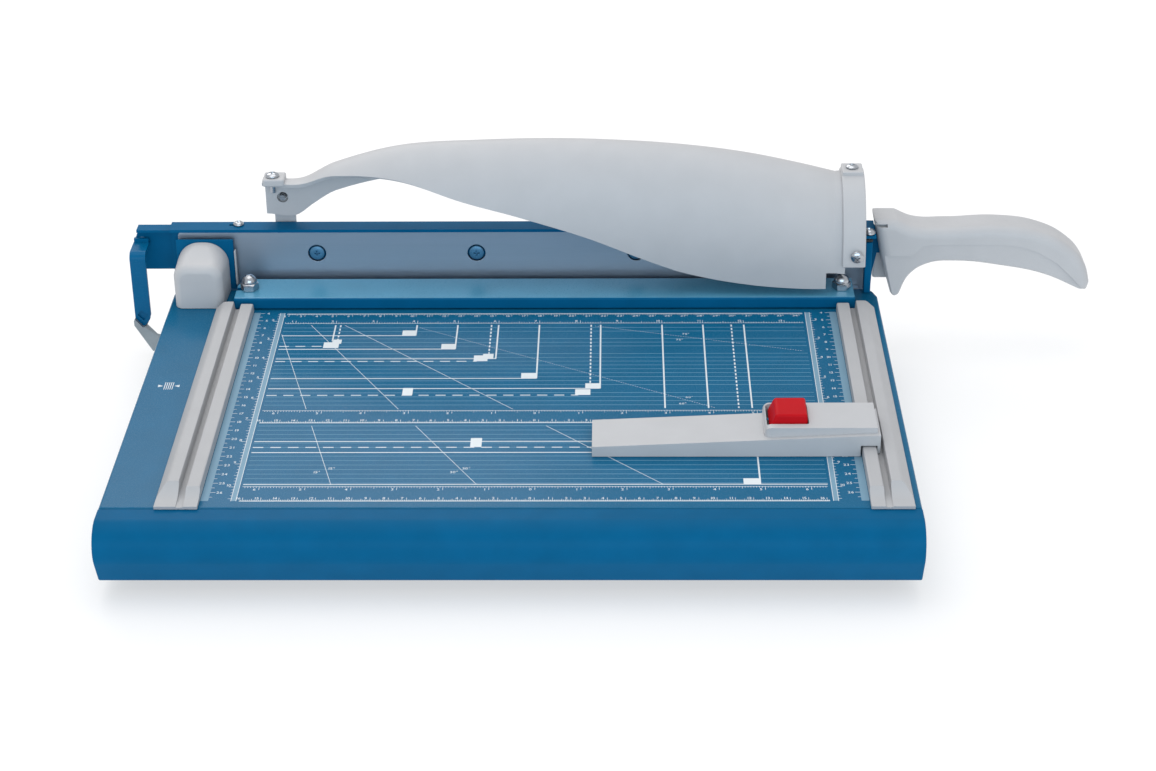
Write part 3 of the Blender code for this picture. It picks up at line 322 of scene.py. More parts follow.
def spline_value(knots, x):
    """Smooth curve through knots of (x, value), flat beyond its ends."""
    if x <= knots[0][0]:
        return knots[0][1]
    if x >= knots[-1][0]:
        return knots[-1][1]
    i = max(k for k in range(len(knots) - 1) if knots[k][0] <= x)

    def slope(k):
        low = max(k - 1, 0)
        high = min(k + 1, len(knots) - 1)
        return (knots[high][1] - knots[low][1]) / (knots[high][0] - knots[low][0])

    (x0, y0), (x1, y1) = knots[i], knots[i + 1]
    width = x1 - x0
    t = (x - x0) / width
    start = slope(i) * width
    end = slope(i + 1) * width
    rise = y1 - y0
    return y0 + start * t + (3 * rise - 2 * start - end) * t * t + (start + end - 2 * rise) * t * t * t


def settle(obj, body, slot, *replaced):
    """Ride the piece on its body and hide the nodes that it stands for. The slot is not used."""
    weighted = obj.modifiers.new("even shading", 'WEIGHTED_NORMAL')
    weighted.keep_sharp = True
    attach(obj, body)
    if replaced:
        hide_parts(*replaced)


def repaint(material, names):
    """Give CAD nodes a new finish, their meshes left as they are."""
    for name in names:
        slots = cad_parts[name].data.materials
        slots.clear()
        slots.append(material)


# Fasteners


def cross_recess(name, place, facing, radius, depth):
    """Two crossed wedges that cut a cross recess, narrowing downwards."""
    tools = []
    turn = AXES[facing]
    centre = at(*place)
    for long, wide in ((radius, radius * 0.3), (radius * 0.3, radius)):
        corners = []
        for level, shrink in ((0.6, 1.0), (-depth, 0.55)):
            for sx, sy in SQUARE:
                local = Vector((sx * long * shrink, sy * wide * shrink, level)) * MM
                corners.append(centre + turn @ local)
        tools.append(mesh_object(name + "_recess", corners, BOX_FACES, ZINC))
    return tools


def pan_screw(name, place, facing, head_radius, head_height, shank_radius, shank_length):
    """Domed screw head with a cross recess, above its seat at height 0."""
    profile = [(0, head_height)]
    dome_steps, dome_angle, rim = 8, 78, 0.25
    for i in range(1, dome_steps + 1):
        angle = radians(dome_angle * i / dome_steps)
        profile.append((head_radius * sin(angle) / sin(radians(dome_angle)),
                        head_height * (0.3 + 0.7 * cos(angle * 90 / dome_angle))))
    profile += [(head_radius, rim), (head_radius - rim, 0), (shank_radius, 0), (shank_radius, -shank_length),
                (0, -shank_length)]
    screw = lathe(name + "_detail", profile, place, ZINC, facing)
    top = Vector(place) + AXES[facing] @ Vector((0, 0, head_height))
    return combine(screw, cross_recess(name, top, facing, head_radius * 0.52, head_height * 0.6))


def hexagon(name, place, across, height):
    """Hexagon nut body with chamfered corners."""
    outline = arc(place[:2], across / sqrt(3), 0, 300, 5)
    nut = prism(name, outline, 'Z', (place[2], place[2] + height), ZINC, 20)
    past, rounding = 0.01, across / 2 + 0.35
    barrel = [(0, height + past), (rounding - 0.9, height + past), (rounding + 0.5, height - 0.9),
              (rounding + 0.5, 0.3), (rounding, -past), (0, -past)]
    return combine(nut, [lathe(name + "_barrel", barrel, place, ZINC)], 'INTERSECT')


# Base

(TABLE_LEFT, SEAM_Y, SKIRT), (TABLE_RIGHT, TABLE_REAR, _) = span("base_table")
FRONT_Y = span("front_shell")[0].y
SHEET = 2.5
GAP = 0.3
ROD_X, ROD_Y = 187.4, -21.0
PIVOT = (-218.2, 0, 17.0)
PIVOT_RADIUS = 5.3
STRAP_X = -258.7


def table_outline(inset):
    left, right = TABLE_LEFT + inset, TABLE_RIGHT - inset
    front, rear = SEAM_Y + inset, TABLE_REAR - inset
    cut_x, cut_y = 8.0 - inset * 0.4, 11.0 - inset * 0.4
    return [
        (left, front), (right, front), (right, rear - cut_y), (right - cut_x * 0.3, rear - cut_y * 0.3),
        (right - cut_x, rear), (left + cut_x * 0.5, rear), (left, rear - cut_y * 0.5),
    ]


def table():
    """Folded tray with softly rolled edges and the rods' clearance holes."""
    tray = bake(rounded(prism("table_tray", table_outline(0), 'Z', (SKIRT, 0), PAINT_TOP), 1.6, 4, 30))
    tools = [prism("tray_inside", table_outline(SHEET), 'Z', (SKIRT - 5, -SHEET)),
             block("lever_slot", (TABLE_LEFT - 5, TABLE_LEFT + 11), (-17, -8.1), (-60, -22))]
    tools += [bore("rod_hole", (side * ROD_X, ROD_Y, 0), 4, -10, 5, 'Z') for side in (-1, 1)]
    combine(tray, tools)
    settle(tray, "base", "blue_paint", "base_table")


def shell():
    """Rounded front moulding: one smooth roll from the table down to its turned-in lip."""
    nose, lip = 15.0, 2.2
    roll = (90, 205)
    back = span("front_shell")[1].y
    centre = (FRONT_Y + nose, -nose)
    outer = [(back, SKIRT), (back, -0.5), (back - 0.5, 0)]
    outer += arc(centre, nose, *roll, 28)
    outer += arc((FRONT_Y + 9.6, SKIRT + lip), lip, 200, 268, 6)
    body = bake(rounded(prism("shell_body", outer, 'X', (TABLE_LEFT, TABLE_RIGHT), PAINT), 1.1, 4, 55))
    inner = [(back - SHEET, SKIRT - 5), (back - SHEET, -SHEET)]
    inner += arc(centre, nose - SHEET, *roll, 28)
    inner += [(FRONT_Y + 11.4, SKIRT - 5)]
    combine(body, [prism("shell_hollow", inner, 'X', (TABLE_LEFT + SHEET, TABLE_RIGHT - SHEET))])
    mend(body)
    settle(body, "base", "blue_paint", "front_shell")


def guide(name, side):
    """Grooved side rail with a chamfered crest and a ramped front end."""
    (_, front, _), (_, back, _) = span(name)
    profile = [
        (183.2, GAP), (183.2, 5.3), (183.5, 6.0), (184.2, 6.3), (190.3, 6.3), (190.9, 6.0), (191.0, 5.4),
        (191.0, 1.9), (191.4, 1.5), (194.6, 1.5), (195.0, 1.9), (195.0, 7.4), (195.3, 8.1), (196.0, 8.3),
        (200.2, 8.3), (201.2, 8.1), (202.4, 7.3), (206.5, 2.9), (207.0, 2.0), (207.0, GAP),
    ]
    rail = prism(name + "_rail", [(side * x, z) for x, z in profile], 'Y', (front, back), RAIL_PLASTIC, 30)
    reach = sorted((side * 178.0, side * 212.0))
    ramp = [(front - 2, 1.8), (front + 3, 2.4)] + arc((front + 3, 22.4), 20, -80, -38, 8) + [(front - 2, 14)]
    lean = [(back + 2, 2.5), (back + 2, 12), (back - 4, 12), (back - 0.5, 2.5)]
    combine(rail, [prism("rail_ramp", ramp, 'X', reach), prism("rail_lean", lean, 'X', reach)])
    settle(bake(rounded(rail, 0.35, 2, 40), 30), "base", "grey_plastic", name)


def pivot_cap():
    """Housing over the pivot: an arch at the back that eases into a rounded rectangle in front."""
    low, high = span("pivot_cap")
    middle = (low.x + high.x) / 2
    back, front, foot = high.y, low.y, GAP + 0.1
    edge, wall_thickness, wrap = 5.5, 1.8, 84
    depth_steps, edge_steps, corner_steps = 14, 8, 12

    def section(y, inset):
        ease = eased((back - y) / (back - front - edge))
        half = 16.2 - 0.7 * ease - inset
        top = 33.4 - 4.6 * ease - inset
        corner = max(14.4 - 6.4 * ease - inset * 0.6, 2.0)
        side_middle = (GAP + top - corner) / 2
        points = [(middle - half, foot), (middle - half, side_middle)]
        points += arc((middle - half + corner, top - corner), corner, 180, 90, corner_steps)
        points += [(middle, top)]
        points += arc((middle + half - corner, top - corner), corner, 90, 0, corner_steps)
        points += [(middle + half, side_middle), (middle + half, foot)]
        return [at(x, y, z) for x, z in points]

    rows = [section(back - (back - front - edge) * i / depth_steps, 0) for i in range(depth_steps + 1)]
    for i in range(1, edge_steps + 1):
        angle = radians(wrap * i / edge_steps)
        rows.append(section(front + edge - edge * sin(angle), edge * (1 - cos(angle))))
    vertices, faces = woven(rows)
    faces.append(tuple(range(len(vertices) - len(rows[0]), len(vertices))))
    cap = mesh_object("pivot_cap_housing", vertices, faces, PLASTIC, 50)
    wall = cap.modifiers.new("wall", 'SOLIDIFY')
    wall.thickness = wall_thickness * MM
    wall.offset = -1
    settle(bake(cap, 50), "base", "grey_plastic", "pivot_cap")


def bracket():
    """Pivot plate with a foot folded in front of it."""
    low, high = span("pivot_bracket")
    plate = block("bracket_plate", (low.x, high.x), (-5.0, -2.6), (low.z, high.z), PAINT)
    combine(plate, [block("bracket_foot_plate", (-231.8, -204.6), (-30, -4.2), (GAP, 3.3))], 'UNION')
    combine(plate, [bore("bracket_hole", PIVOT, PIVOT_RADIUS, -20, 20)])
    settle(bake(rounded(plate, 0.5, 2, 40)), "base", "blue_paint", "pivot_bracket")


def stop():
    post = node_block("stop_post_plate", "stop_post", PAINT)
    settle(bake(rounded(post, 0.7)), "base", "blue_paint", "stop_post")
    buffer = node_block("stop_buffer_pad", "stop_buffer", RUBBER)
    settle(bake(rounded(buffer, 0.6)), "base", "black_rubber", "stop_buffer")


def feet():
    """Rubber feet with a rolled rim and a sunken sole ring."""
    for name in ("front_left_foot", "front_right_foot", "rear_left_foot", "rear_right_foot"):
        low, high = span(name)
        middle = (low + high) / 2
        top, sole = high.z, low.z
        profile = [(0, top), (9.2, top), (9.8, top - 0.5), (9.9, top - 2), (9.3, -44.2), (8.6, -45.5),
                   (7.6, sole), (6.4, sole), (6.0, sole + 0.8), (3.6, sole + 0.8), (3.2, sole), (0, sole)]
        foot = lathe(name + "_rubber", profile, (middle.x, middle.y, 0), RUBBER, steps=40)
        settle(foot, "base", "black_rubber", name)


# Clamp


def clamp_bar():
    """Pressed channel with rolled bends, an open slot at each nut and a cut corner."""
    (left, front, bottom), (right, back, top) = span("clamp_bar")
    wall, bend, above = 2.6, 1.6, 15
    profile = [(front, bottom)] + arc((front + bend, top - bend), bend, 180, 90, 6)
    profile += arc((back - bend, top - bend), bend, 90, 0, 6) + [(back, bottom), (back - wall, bottom)]
    profile += [(back - wall, top - wall), (front + wall, top - wall), (front + wall, bottom)]
    bar = prism("clamp_channel", profile, 'X', (left, right), PAINT, 30)
    tools = [bore("bar_hole", (side * ROD_X, ROD_Y, 0), 3.3, -5, above, 'Z') for side in (-1, 1)]
    tools.append(block("bar_slot", (left - 5, -ROD_X - 4.5), (-23, -19), (3, above)))
    corner = [(left - 1, -19.5), (left - 1, 0), (-190, 0), (-193.5, -9)]
    tools.append(prism("bar_corner", corner, 'Z', (-3, above)))
    combine(bar, tools)
    bake(rounded(bar, 0.3, 2, 50))
    # The upward top faces get the lighter copy of the paint, a painted highlight from the light above.
    bar.data.materials.append(BLUE_PAINTED_HIGHLIGHT)
    for face in bar.data.polygons:
        if face.normal.z > 0.9 and face.center.z > at(0, 0, top - 1).z:
            face.material_index = 1
    settle(bar, "clamp", "blue_paint", "clamp_bar")


def cap_nuts():
    across, hexagon_height, radius, shoulder, rise = 10.2, 4.6, 4.75, 4.9, 4.8
    dome = [(0, shoulder + rise)]
    for angle in (radians(10 * i) for i in range(1, 10)):
        dome.append((radius * sin(angle), shoulder + rise * cos(angle)))
    dome += [(radius, 3.0), (0, 3.0)]
    for word, side in (("left", -1), ("right", 1)):
        place = (side * ROD_X, ROD_Y, 8.4)
        nut = hexagon("cap_nut_" + word + "_hex", place, across, hexagon_height)
        combine(nut, [lathe("nut_dome", dome, place, ZINC)], 'UNION')
        combine(nut, [bore("nut_bore", place, 3.3, -3, 6, 'Z')])
        mend(nut)
        settle(nut, "clamp", "zinc_plate", "cap_nut_" + word)


# Arm

FIRST_SCREW, SCREW_PITCH, SCREW_COUNT = -146.1, 102.0, 4
SCREW_X = [FIRST_SCREW + SCREW_PITCH * i for i in range(SCREW_COUNT)]
SCREW_Z = 23.0
WEB, TAIL, STEEL = (3.6, 6.6), (6.9, 9.4), (0.3, 3.3)
THROUGH = (-5, 20)
FLANGE_SCREW = (-195.8, 5.6)
STOP_BOLT = (204.6, -9.5)
TIP_SCREW = (-171.5, 2.0)
UPPER_RING_SCREW = (193, 2.5)


def pivot_bore():
    return bore("pivot_bore", PIVOT, PIVOT_RADIUS, *THROUGH)


def beam():
    """Blade carrier: web, folded top flange, stop ear and the tang inside the handle."""
    outline = [(-239, 7.6), (194, 7.6), (198, -6), (208.4, -6), (209, 8), (211.5, 21), (300, 24), (300, 36),
               (213, 36), (208.8, 40), (-239, 40)]
    web = prism("beam_web", outline, 'Y', WEB, PAINT)
    combine(web, [block("beam_flange", (-239.2, 209), (-2, 10.4), (38.5, 40.5)),
                  block("beam_ear", (198, 208.8), (-13.5, 1), (38.6, 40.4))], 'UNION')
    seat, above = 38.3, 50
    tools = [pivot_bore()] + [bore("beam_screw", (x, 0, SCREW_Z), 2.8, 0, 20) for x in SCREW_X]
    tools.append(bore("ear_bore", (*STOP_BOLT, 0), 2.9, 30, above, 'Z'))
    tools.append(bore("flange_bore", (*FLANGE_SCREW, 0), 2.3, seat, above, 'Z'))
    tools.append(block("flange_slot", (-201.8, -196.8), (4.4, 6.8), (seat, above)))
    combine(web, tools)
    settle(bake(rounded(web, 0.45, 2, 45)), "arm", "blue_paint", "arm_beam")


def tail():
    """Plate behind the arm with its folded top edge."""
    outline = [(-262.2, 9), (-186, 9), (-186, 34), (-239.6, 36.6), (-239.6, 37.8), (-259.2, 37.8),
               (-262.2, 33)]
    plate = prism("tail_plate", outline, 'Y', TAIL, PAINT)
    combine(plate, [block("tail_fold", (-261.2, -239.6), (2.6, 11.6), (36.4, 38.2))], 'UNION')
    combine(plate, [pivot_bore(), bore("tail_hook", (STRAP_X, 0, 28.5), 3.3, *THROUGH)])
    settle(bake(rounded(plate, 0.4, 2, 45)), "arm", "blue_paint", "arm_tail")


def blade():
    """Ground knife with a bowed cutting edge and softened corners, and its four screws."""
    left, right, top, bottom = -234.2, 203.5, 38.2, -7.0
    corner, tip_inset, bow, climb, steps = 3, 6, 2.5, 3, 40
    outline = [(left, -2)] + arc((left + corner, top - corner), corner, 180, 90, 6)
    outline += [(right, top), (right, bottom)]
    for i in range(1, steps + 1):
        along = i / steps
        sag = sin(pi * along) * bow
        outline.append((right - along * (right - left - tip_inset), bottom - sag + along * climb))
    steel = prism("blade_steel_plate", outline, 'Y', STEEL, BLADE)
    combine(steel, [pivot_bore()] + [bore("blade_hole", (x, 0, SCREW_Z), 5.75, *THROUGH) for x in SCREW_X])
    settle(bake(rounded(steel, 0.3, 2, 45)), "arm", "blade_steel", "blade")
    head = [(0, 0.1), (2.4, 0.05), (4.0, -0.15), (4.6, -0.6), (4.6, -2.6), (2.5, -2.9), (2.5, -8.5),
            (0, -8.5)]
    for i, x in enumerate(SCREW_X):
        screw = lathe("blade_screw_head_%d" % (i + 1), head, (x, 0, SCREW_Z), SCREW_PAINT, '-Y')
        combine(screw, cross_recess("blade_screw", (x, -0.1, SCREW_Z), '-Y', 2.3, 1.3))
        settle(screw, "arm", "blue_paint", "blade_screw_%d" % (i + 1))


# Guard

CREST = [(-177.5, 74.0), (-154, 73.4), (-132, 84.2), (-90, 95.6), (-40, 98.9), (10, 99.8), (60, 97.8),
         (97, 94.4), (129, 89.6), (160, 82.8), (188, 75.6)]
EDGE_ANGLE = [(-177.5, 10), (-154, 11), (-122, 25), (-88, 38.5), (-55, 51.5), (-15, 62), (28, 73),
              (66, 84.8), (98, 93.8), (129, 99.5), (161, 102.3), (188, 102.3)]
BACK_DROP = [(-177.5, 21), (-160, 21), (-148, 16), (-126, 15), (-60, 18), (60, 22), (188, 22)]
GUARD_AXIS_Z = 25.0
GUARD_CREST_Y = 3.0
GUARD_REACH, GUARD_BACK = 35.0, 12.0
CREST_RISE, CREST_STEPS = 0.7, 8
SKIN_CLEARANCE = 0.03
RIM_START, RIM_LENGTH, RIM_HEIGHT = 182.6, 1.8, 0.9
RING_X = 188
TIP_SEAT = 75.9
BRACKET_SCREW = (-167, 58)
LOWER_RING_SCREW = (195, 36.5)


def guard_section(x, front_steps, angle=None, offset=0.0):
    """Points (y, z) across the guard at x: up its back, over its crest and down its front."""
    crest = spline_value(CREST, x) + offset - SKIN_CLEARANCE
    height = crest - GUARD_AXIS_Z
    reach = GUARD_REACH + offset
    back = GUARD_BACK + offset
    corner = back - GUARD_CREST_Y
    edge = spline_value(EDGE_ANGLE, x) if angle is None else angle
    foot = crest - offset - corner * CREST_RISE - spline_value(BACK_DROP, x)
    low = crest - corner * CREST_RISE
    points = [(back, foot), (back, (2 * foot + low) / 3), (back, (foot + 2 * low) / 3)]
    for i in range(CREST_STEPS + 1):
        t = radians(90 * i / CREST_STEPS)
        points.append((GUARD_CREST_Y + corner * cos(t), low + corner * CREST_RISE * sin(t)))
    for i in range(1, front_steps + 1):
        degrees = edge * i / front_steps
        t = radians(min(degrees, 90))
        drop = max(degrees - 90, 0)
        points.append((GUARD_CREST_Y - reach * sin(t), GUARD_AXIS_Z + height * cos(t) - drop))
    return points


def skin(name, stations, section, wall, outward, rim):
    """A walled skin through one section per station, its normals facing away from the arm."""
    vertices, faces = woven([[at(x, y, z) for y, z in section(x)] for x in stations])
    mesh = bpy.data.meshes.new(name)
    mesh.from_pydata([tuple(v) for v in vertices], [], faces)
    obj = placed(name, mesh)
    mesh.materials.append(PLASTIC)
    solid = obj.modifiers.new("wall", 'SOLIDIFY')
    solid.thickness = wall * MM
    solid.offset = outward
    solid.use_even_offset = True
    rounded(obj, rim, 3, 60)
    return bake(obj, 50)


def guard():
    """Bulging shell with a raised rim next to its ring, a notch over the nut and a boss at its tip."""
    (left, _, _), (right, _, _) = span("guard_shell")
    count = 140
    stations = [left + (right - left) * i / count for i in range(count + 1)]

    def section(x):
        return guard_section(x, 44, None, RIM_HEIGHT * eased((x - RIM_START) / RIM_LENGTH))

    shell_skin = skin("guard_bulge", stations, section, 2.5, -1, 0.8)
    boss = block("tip_boss", (-177.2, -163.6), (-3.6, 9.6), (70.5, TIP_SEAT - GAP))
    combine(shell_skin, [bake(rounded(boss, 1.2, 4))], 'UNION')
    combine(shell_skin, [block("nut_notch", (176.5, 200), (-45, -20), (0, 23.5)),
                         bore("tip_hole", (*TIP_SCREW, 0), 2.3, 60, 90, 'Z'),
                         bore("wall_hole", (BRACKET_SCREW[0], 0, BRACKET_SCREW[1]), 3.6, 5, 20)])
    smooth(shell_skin, 50)
    settle(shell_skin, "arm", "grey_plastic", "guard_shell")


def ring():
    def section(_):
        return guard_section(RING_X, 30, 86, 0.6)

    band = skin("guard_band", [186.0, 190.8, 195.6, 200.4], section, 3.0, 1, 0.9)
    foot = [(12.9, 60), (16, 60), (16, 10), (6.9, 10), (6.9, 22), (12.9, 26)]
    pad = bake(rounded(block("ring_pad", (186.6, 199.8), (-5, 10), (77, 80.4)), 0.8))
    combine(band, [prism("ring_leg", foot, 'X', (187.0, 199.4)), pad], 'UNION')
    combine(band, [bore("upper_bore", (*UPPER_RING_SCREW, 0), 2.2, 60, 90, 'Z'),
                   bore("lower_bore", (LOWER_RING_SCREW[0], 0, LOWER_RING_SCREW[1]), 2.2, -45, -20)])
    smooth(band, 40)
    settle(band, "arm", "grey_plastic", "guard_ring")


def guard_leg():
    """Strip from the arm's web to the guard's tip, waisted towards its foot."""
    profile = [(12.6, 68), (15, 68), (15, 26), (9.3, 22), (9.3, 10), (6.9, 10), (6.9, 23.5), (12.6, 27.5)]
    strip = prism("guard_leg_strip", profile, 'X', (-173.2, -159.8), PLASTIC)
    combine(strip, [bore("strip_hole", (BRACKET_SCREW[0], 0, BRACKET_SCREW[1]), 2.2, 0, 30)])
    settle(bake(rounded(strip, 0.5)), "arm", "grey_plastic", "guard_bracket")


# Handle


GRIP_MIDDLE, GRIP_HALF, GRIP_ROUNDING = 5.1, 13.5, 6.0
GRID, GRID_WELD, HALF_GAP = 0.75, 0.005, 0.02
PANEL_LEAN = 0.06


def grip_mesh(knots):
    curve = bpy.data.curves.new("grip", 'CURVE')
    curve.dimensions = '2D'
    curve.fill_mode = 'BOTH'
    curve.resolution_u = 14
    curve.extrude = (GRIP_HALF - GRIP_ROUNDING) * MM
    curve.bevel_depth = GRIP_ROUNDING * MM
    curve.bevel_resolution = 7
    curve.offset = -GRIP_ROUNDING * MM
    spline = curve.splines.new('BEZIER')
    spline.bezier_points.add(len(knots) - 1)
    for point, (x, z, kind) in zip(spline.bezier_points, knots):
        point.co = (x * MM, z * MM, 0)
        point.handle_left_type = point.handle_right_type = 'VECTOR' if kind == 'v' else 'AUTO'
    spline.use_cyclic_u = True
    holder = placed("grip", curve)
    mesh = finished_mesh(holder)
    bpy.data.objects.remove(holder)
    return mesh


def even_skin(mesh):
    """Rebuild a mesh on an even grid, which dissolves the folds that a wide rounding leaves in corners."""
    holder = placed("even_skin", mesh)
    remesh = holder.modifiers.new("even grid", 'REMESH')
    remesh.mode = 'VOXEL'
    remesh.voxel_size = GRID * MM
    relax = holder.modifiers.new("relax", 'SMOOTH')
    relax.factor = 0.5
    relax.iterations = 6
    bake(holder)
    result = holder.data
    bpy.data.objects.remove(holder)
    return result


def leaning(tool):
    """Tilt a panel's cutter so that the panel falls back towards its lower edge."""
    top = max(v.co.z for v in tool.data.vertices)
    for v in tool.data.vertices:
        v.co.y += PANEL_LEAN * (top - v.co.z)
    return tool


def handle():
    """Two moulded halves with a stepped panel along the grip and a slot at the collar."""
    knots = [
        (208.0, 47.6, 'v'), (222.0, 47.6, 'v'), (233.9, 42.5, 'a'), (254.0, 41.8, 'a'), (288.0, 42.8, 'a'),
        (313.0, 38.8, 'a'), (332.0, 29.0, 'a'), (343.0, 16.5, 'a'), (347.0, 4.0, 'v'),
        (345.6, -1.6, 'v'), (340.8, -1.4, 'v'), (317.0, 9.4, 'a'), (290.0, 15.4, 'a'), (260.0, 18.7, 'a'),
        (243.5, 17.0, 'a'), (232.5, 9.6, 'a'), (226.0, -4.6, 'v'), (222.9, -6.4, 'v'), (220.6, -4.0, 'v'),
        (213.6, 20.0, 'v'),
    ]
    pocket = [(204.8, 44), (214.4, 44), (214.4, 37.8), (300.6, 37.4), (300.6, 22.5), (216, 19.5),
              (204.8, -20)]
    panel = [(205, 24.0), (232.5, 24.0), (235.5, 27.0), (239.5, 31.0), (246, 31.8), (290, 31.8), (301, 30.2),
             (313, 26.0), (325, 18.6), (336, 7.6), (350, -9), (350, -20), (205, -20)]
    cheek_outline = [(209.9, 19), (209.9, 0.6), (222, 0.6), (226, 19)]
    face = GRIP_MIDDLE - GRIP_HALF
    whole = even_skin(grip_mesh(knots))
    whole.transform(Matrix.Rotation(radians(90), 4, 'X'))
    whole.transform(Matrix.Translation(at(0, GRIP_MIDDLE, 0)))
    for word, sign in (("front", -1), ("rear", 1)):
        mesh = whole.copy()
        bm = bmesh.new()
        bm.from_mesh(mesh)
        bmesh.ops.remove_doubles(bm, verts=bm.verts, dist=GRID_WELD * MM)
        plane = at(0, GRIP_MIDDLE + sign * HALF_GAP, 0)
        cut = bmesh.ops.bisect_plane(bm, geom=bm.verts[:] + bm.edges[:] + bm.faces[:], plane_co=plane,
                                     plane_no=(0, sign, 0), clear_inner=True)
        rim = [item for item in cut["geom_cut"] if isinstance(item, bmesh.types.BMEdge)]
        bmesh.ops.holes_fill(bm, edges=rim)
        bmesh.ops.recalc_face_normals(bm, faces=bm.faces)
        bm.to_mesh(mesh)
        bm.free()
        mesh.materials.append(PLASTIC)
        grip = placed("grip_" + word, mesh)
        tools = [prism("tang_room", pocket, 'Y', (3.3, 6.9))]
        if word == "front":
            tools.append(leaning(prism("grip_panel", panel, 'Y', (face - 5, face + 0.5))))
            tools.append(block("collar_slot", (204, 216.3), (-14, -4), (43.6, 45.5)))
        combine(grip, tools)
        if word == "rear":
            cheek = bake(rounded(prism("cheek", cheek_outline, 'Y', (8.5, 20.6)), 1.5))
            combine(grip, [cheek], 'UNION')
        smooth(grip, 32)
        settle(grip, "arm", "grey_plastic", "handle_" + word)


# Screws, strap, gauge


def screws():
    seat = 40.8
    for name, place, facing, size in (
        ("flange_screw", (*FLANGE_SCREW, seat), 'Z', (3.4, 2.4, 2.0, 2.0)),
        ("stop_bolt", (*STOP_BOLT, seat), 'Z', (4.0, 3.0, 2.6, 2.9)),
        ("tip_screw", (*TIP_SCREW, TIP_SEAT), 'Z', (4.4, 2.4, 1.8, 11.0)),
        ("ring_screw_upper", (*UPPER_RING_SCREW, 80.7), 'Z', (4.0, 2.0, 1.8, 5.0)),
        ("ring_screw_lower", (LOWER_RING_SCREW[0], -36.0, LOWER_RING_SCREW[1]), '-Y', (4.0, 2.0, 1.8, 4.0)),
        ("bracket_screw", (BRACKET_SCREW[0], 15.3, BRACKET_SCREW[1]), 'Y', (3.6, 2.0, 1.8, 7.0)),
    ):
        settle(pan_screw(name, place, facing, *size), "arm", "zinc_plate", name)


def strap():
    """Bent strap with rolled bends, its neck through the tail and its lower end cut askew."""
    x, half = STRAP_X, 5.1
    front, thick, top, foot = -14.5, 2.5, 29.7, -22.0
    back, under = front + thick, top - thick
    bend, inner_bend = 5.0, 2.6
    profile = [(5.5, under), (5.5, top)] + arc((front + bend, top - bend), bend, 90, 180, 8)
    profile += [(front, foot + 1), (front + 1, foot), (back, foot)]
    profile += arc((back + inner_bend, under - inner_bend), inner_bend, 180, 90, 6)
    body = bake(rounded(prism("strap_plate", profile, 'X', (x - half, x + half), PAINT_EDGE), 0.45, 2, 45))
    corner = [(x + 6.1, -13.9), (x + 4.9, -13.9), (x + 4.3, -16.8), (x + 0.1, foot), (x + 0.1, foot - 2),
              (x + 6.1, foot - 2)]
    recess = [(-262.0, -13.6), (-259.4, -10.2), (-255.6, -13.6), (-258.2, -17.6)]
    combine(body, [prism("strap_corner", corner, 'Y', (front - 3, back + 3)),
                   prism("strap_recess", recess, 'Y', (front - 3, front + 1.2))])
    combine(body, [block("strap_shoulder", (x - 4.6, x + 4.6), (3.2, 5.5), (under - 0.5, 32.0)),
                   block("strap_neck", (x - 2, x + 2), (4, 11), (under + 0.1, top - 0.1)),
                   block("strap_head", (x - 5, x + 5), (9.8, 12), (under - 0.2, top + 0.2)),
                   block("strap_hook", (x - 4.9, x - 2.5), (front + 1, -8.9), (foot + 0.05, foot + 2.5))],
            'UNION')
    settle(body, "strap", "blue_paint", "link_strap")


def gauge():
    """Back gauge: tapered arm, raised block with an eased edge, and the button's well."""
    (left, front, _), (right, back, crown) = span("gauge_body")
    arm_back, tip_top, climb, hook_left, hook_top = -189.8, 6.5, 0.0447, 182.2, 7.2
    outline = [(left, GAP), (left, tip_top), (right, tip_top + climb * (right - left)), (right, 2.3),
               (191.5, 2.3), (191.5, hook_top), (hook_left, hook_top), (hook_left, GAP)]
    body = prism("gauge_arm", outline, 'Y', (front, arm_back), PLASTIC)
    block_left, block_right, block_front, block_bottom = 128.0, 191.6, -218.2, 7.0
    corner, edge = 4.0, 3.8
    plan = [(block_right, back), (block_left + 0.4, back)]
    plan += arc((block_left + corner, block_front + corner), corner, 180, 270, 8)
    plan += [(block_right, block_front)]
    top = prism("gauge_block", plan, 'Z', (7.7, crown), PLASTIC, 30)
    side = [(block_left - 1, block_bottom), (block_left - 1, 11.0), (block_left + 0.6, 12.6)]
    side += arc((block_left + 4.4, crown - edge), edge, 170, 90, 8)
    side += [(block_right + 3, crown), (block_right + 3, block_bottom)]
    combine(top, [prism("gauge_block_side", side, 'Y', (front - 2, back + 2))], 'INTERSECT')
    combine(body, [top], 'UNION')
    bake(rounded(body, 0.7, 3, 40))
    well = bake(rounded(block("gauge_well", (129.8, 153.4), (-213.6, arm_back), (5, 30)), 1.4))
    combine(body, [well, block("gauge_pocket", (184.2, 190.6), (-211, -199), (2, 9.6))])
    smooth(body, 30)
    settle(body, "gauge", "grey_plastic", "gauge_body")


def button():
    """Release button narrowing to a softly crowned top."""
    low, high = span("gauge_button")
    middle = (low + high) / 2
    half = (high - low) / 2
    vertices = []
    for z, wide, deep, right, back in ((low.z, 1.0, 1.0, 0.0, 0.0), (high.z, 0.8, 0.94, 1.9, 0.5)):
        for x, y in SQUARE:
            vertices.append(at(middle.x + right + x * half.x * wide, middle.y + back + y * half.y * deep, z))
    key = bake(rounded(mesh_object("button_key", vertices, BOX_FACES, RED), 1.5, 5, 20), 50)
    settle(key, "button", "red_plastic", "gauge_button")


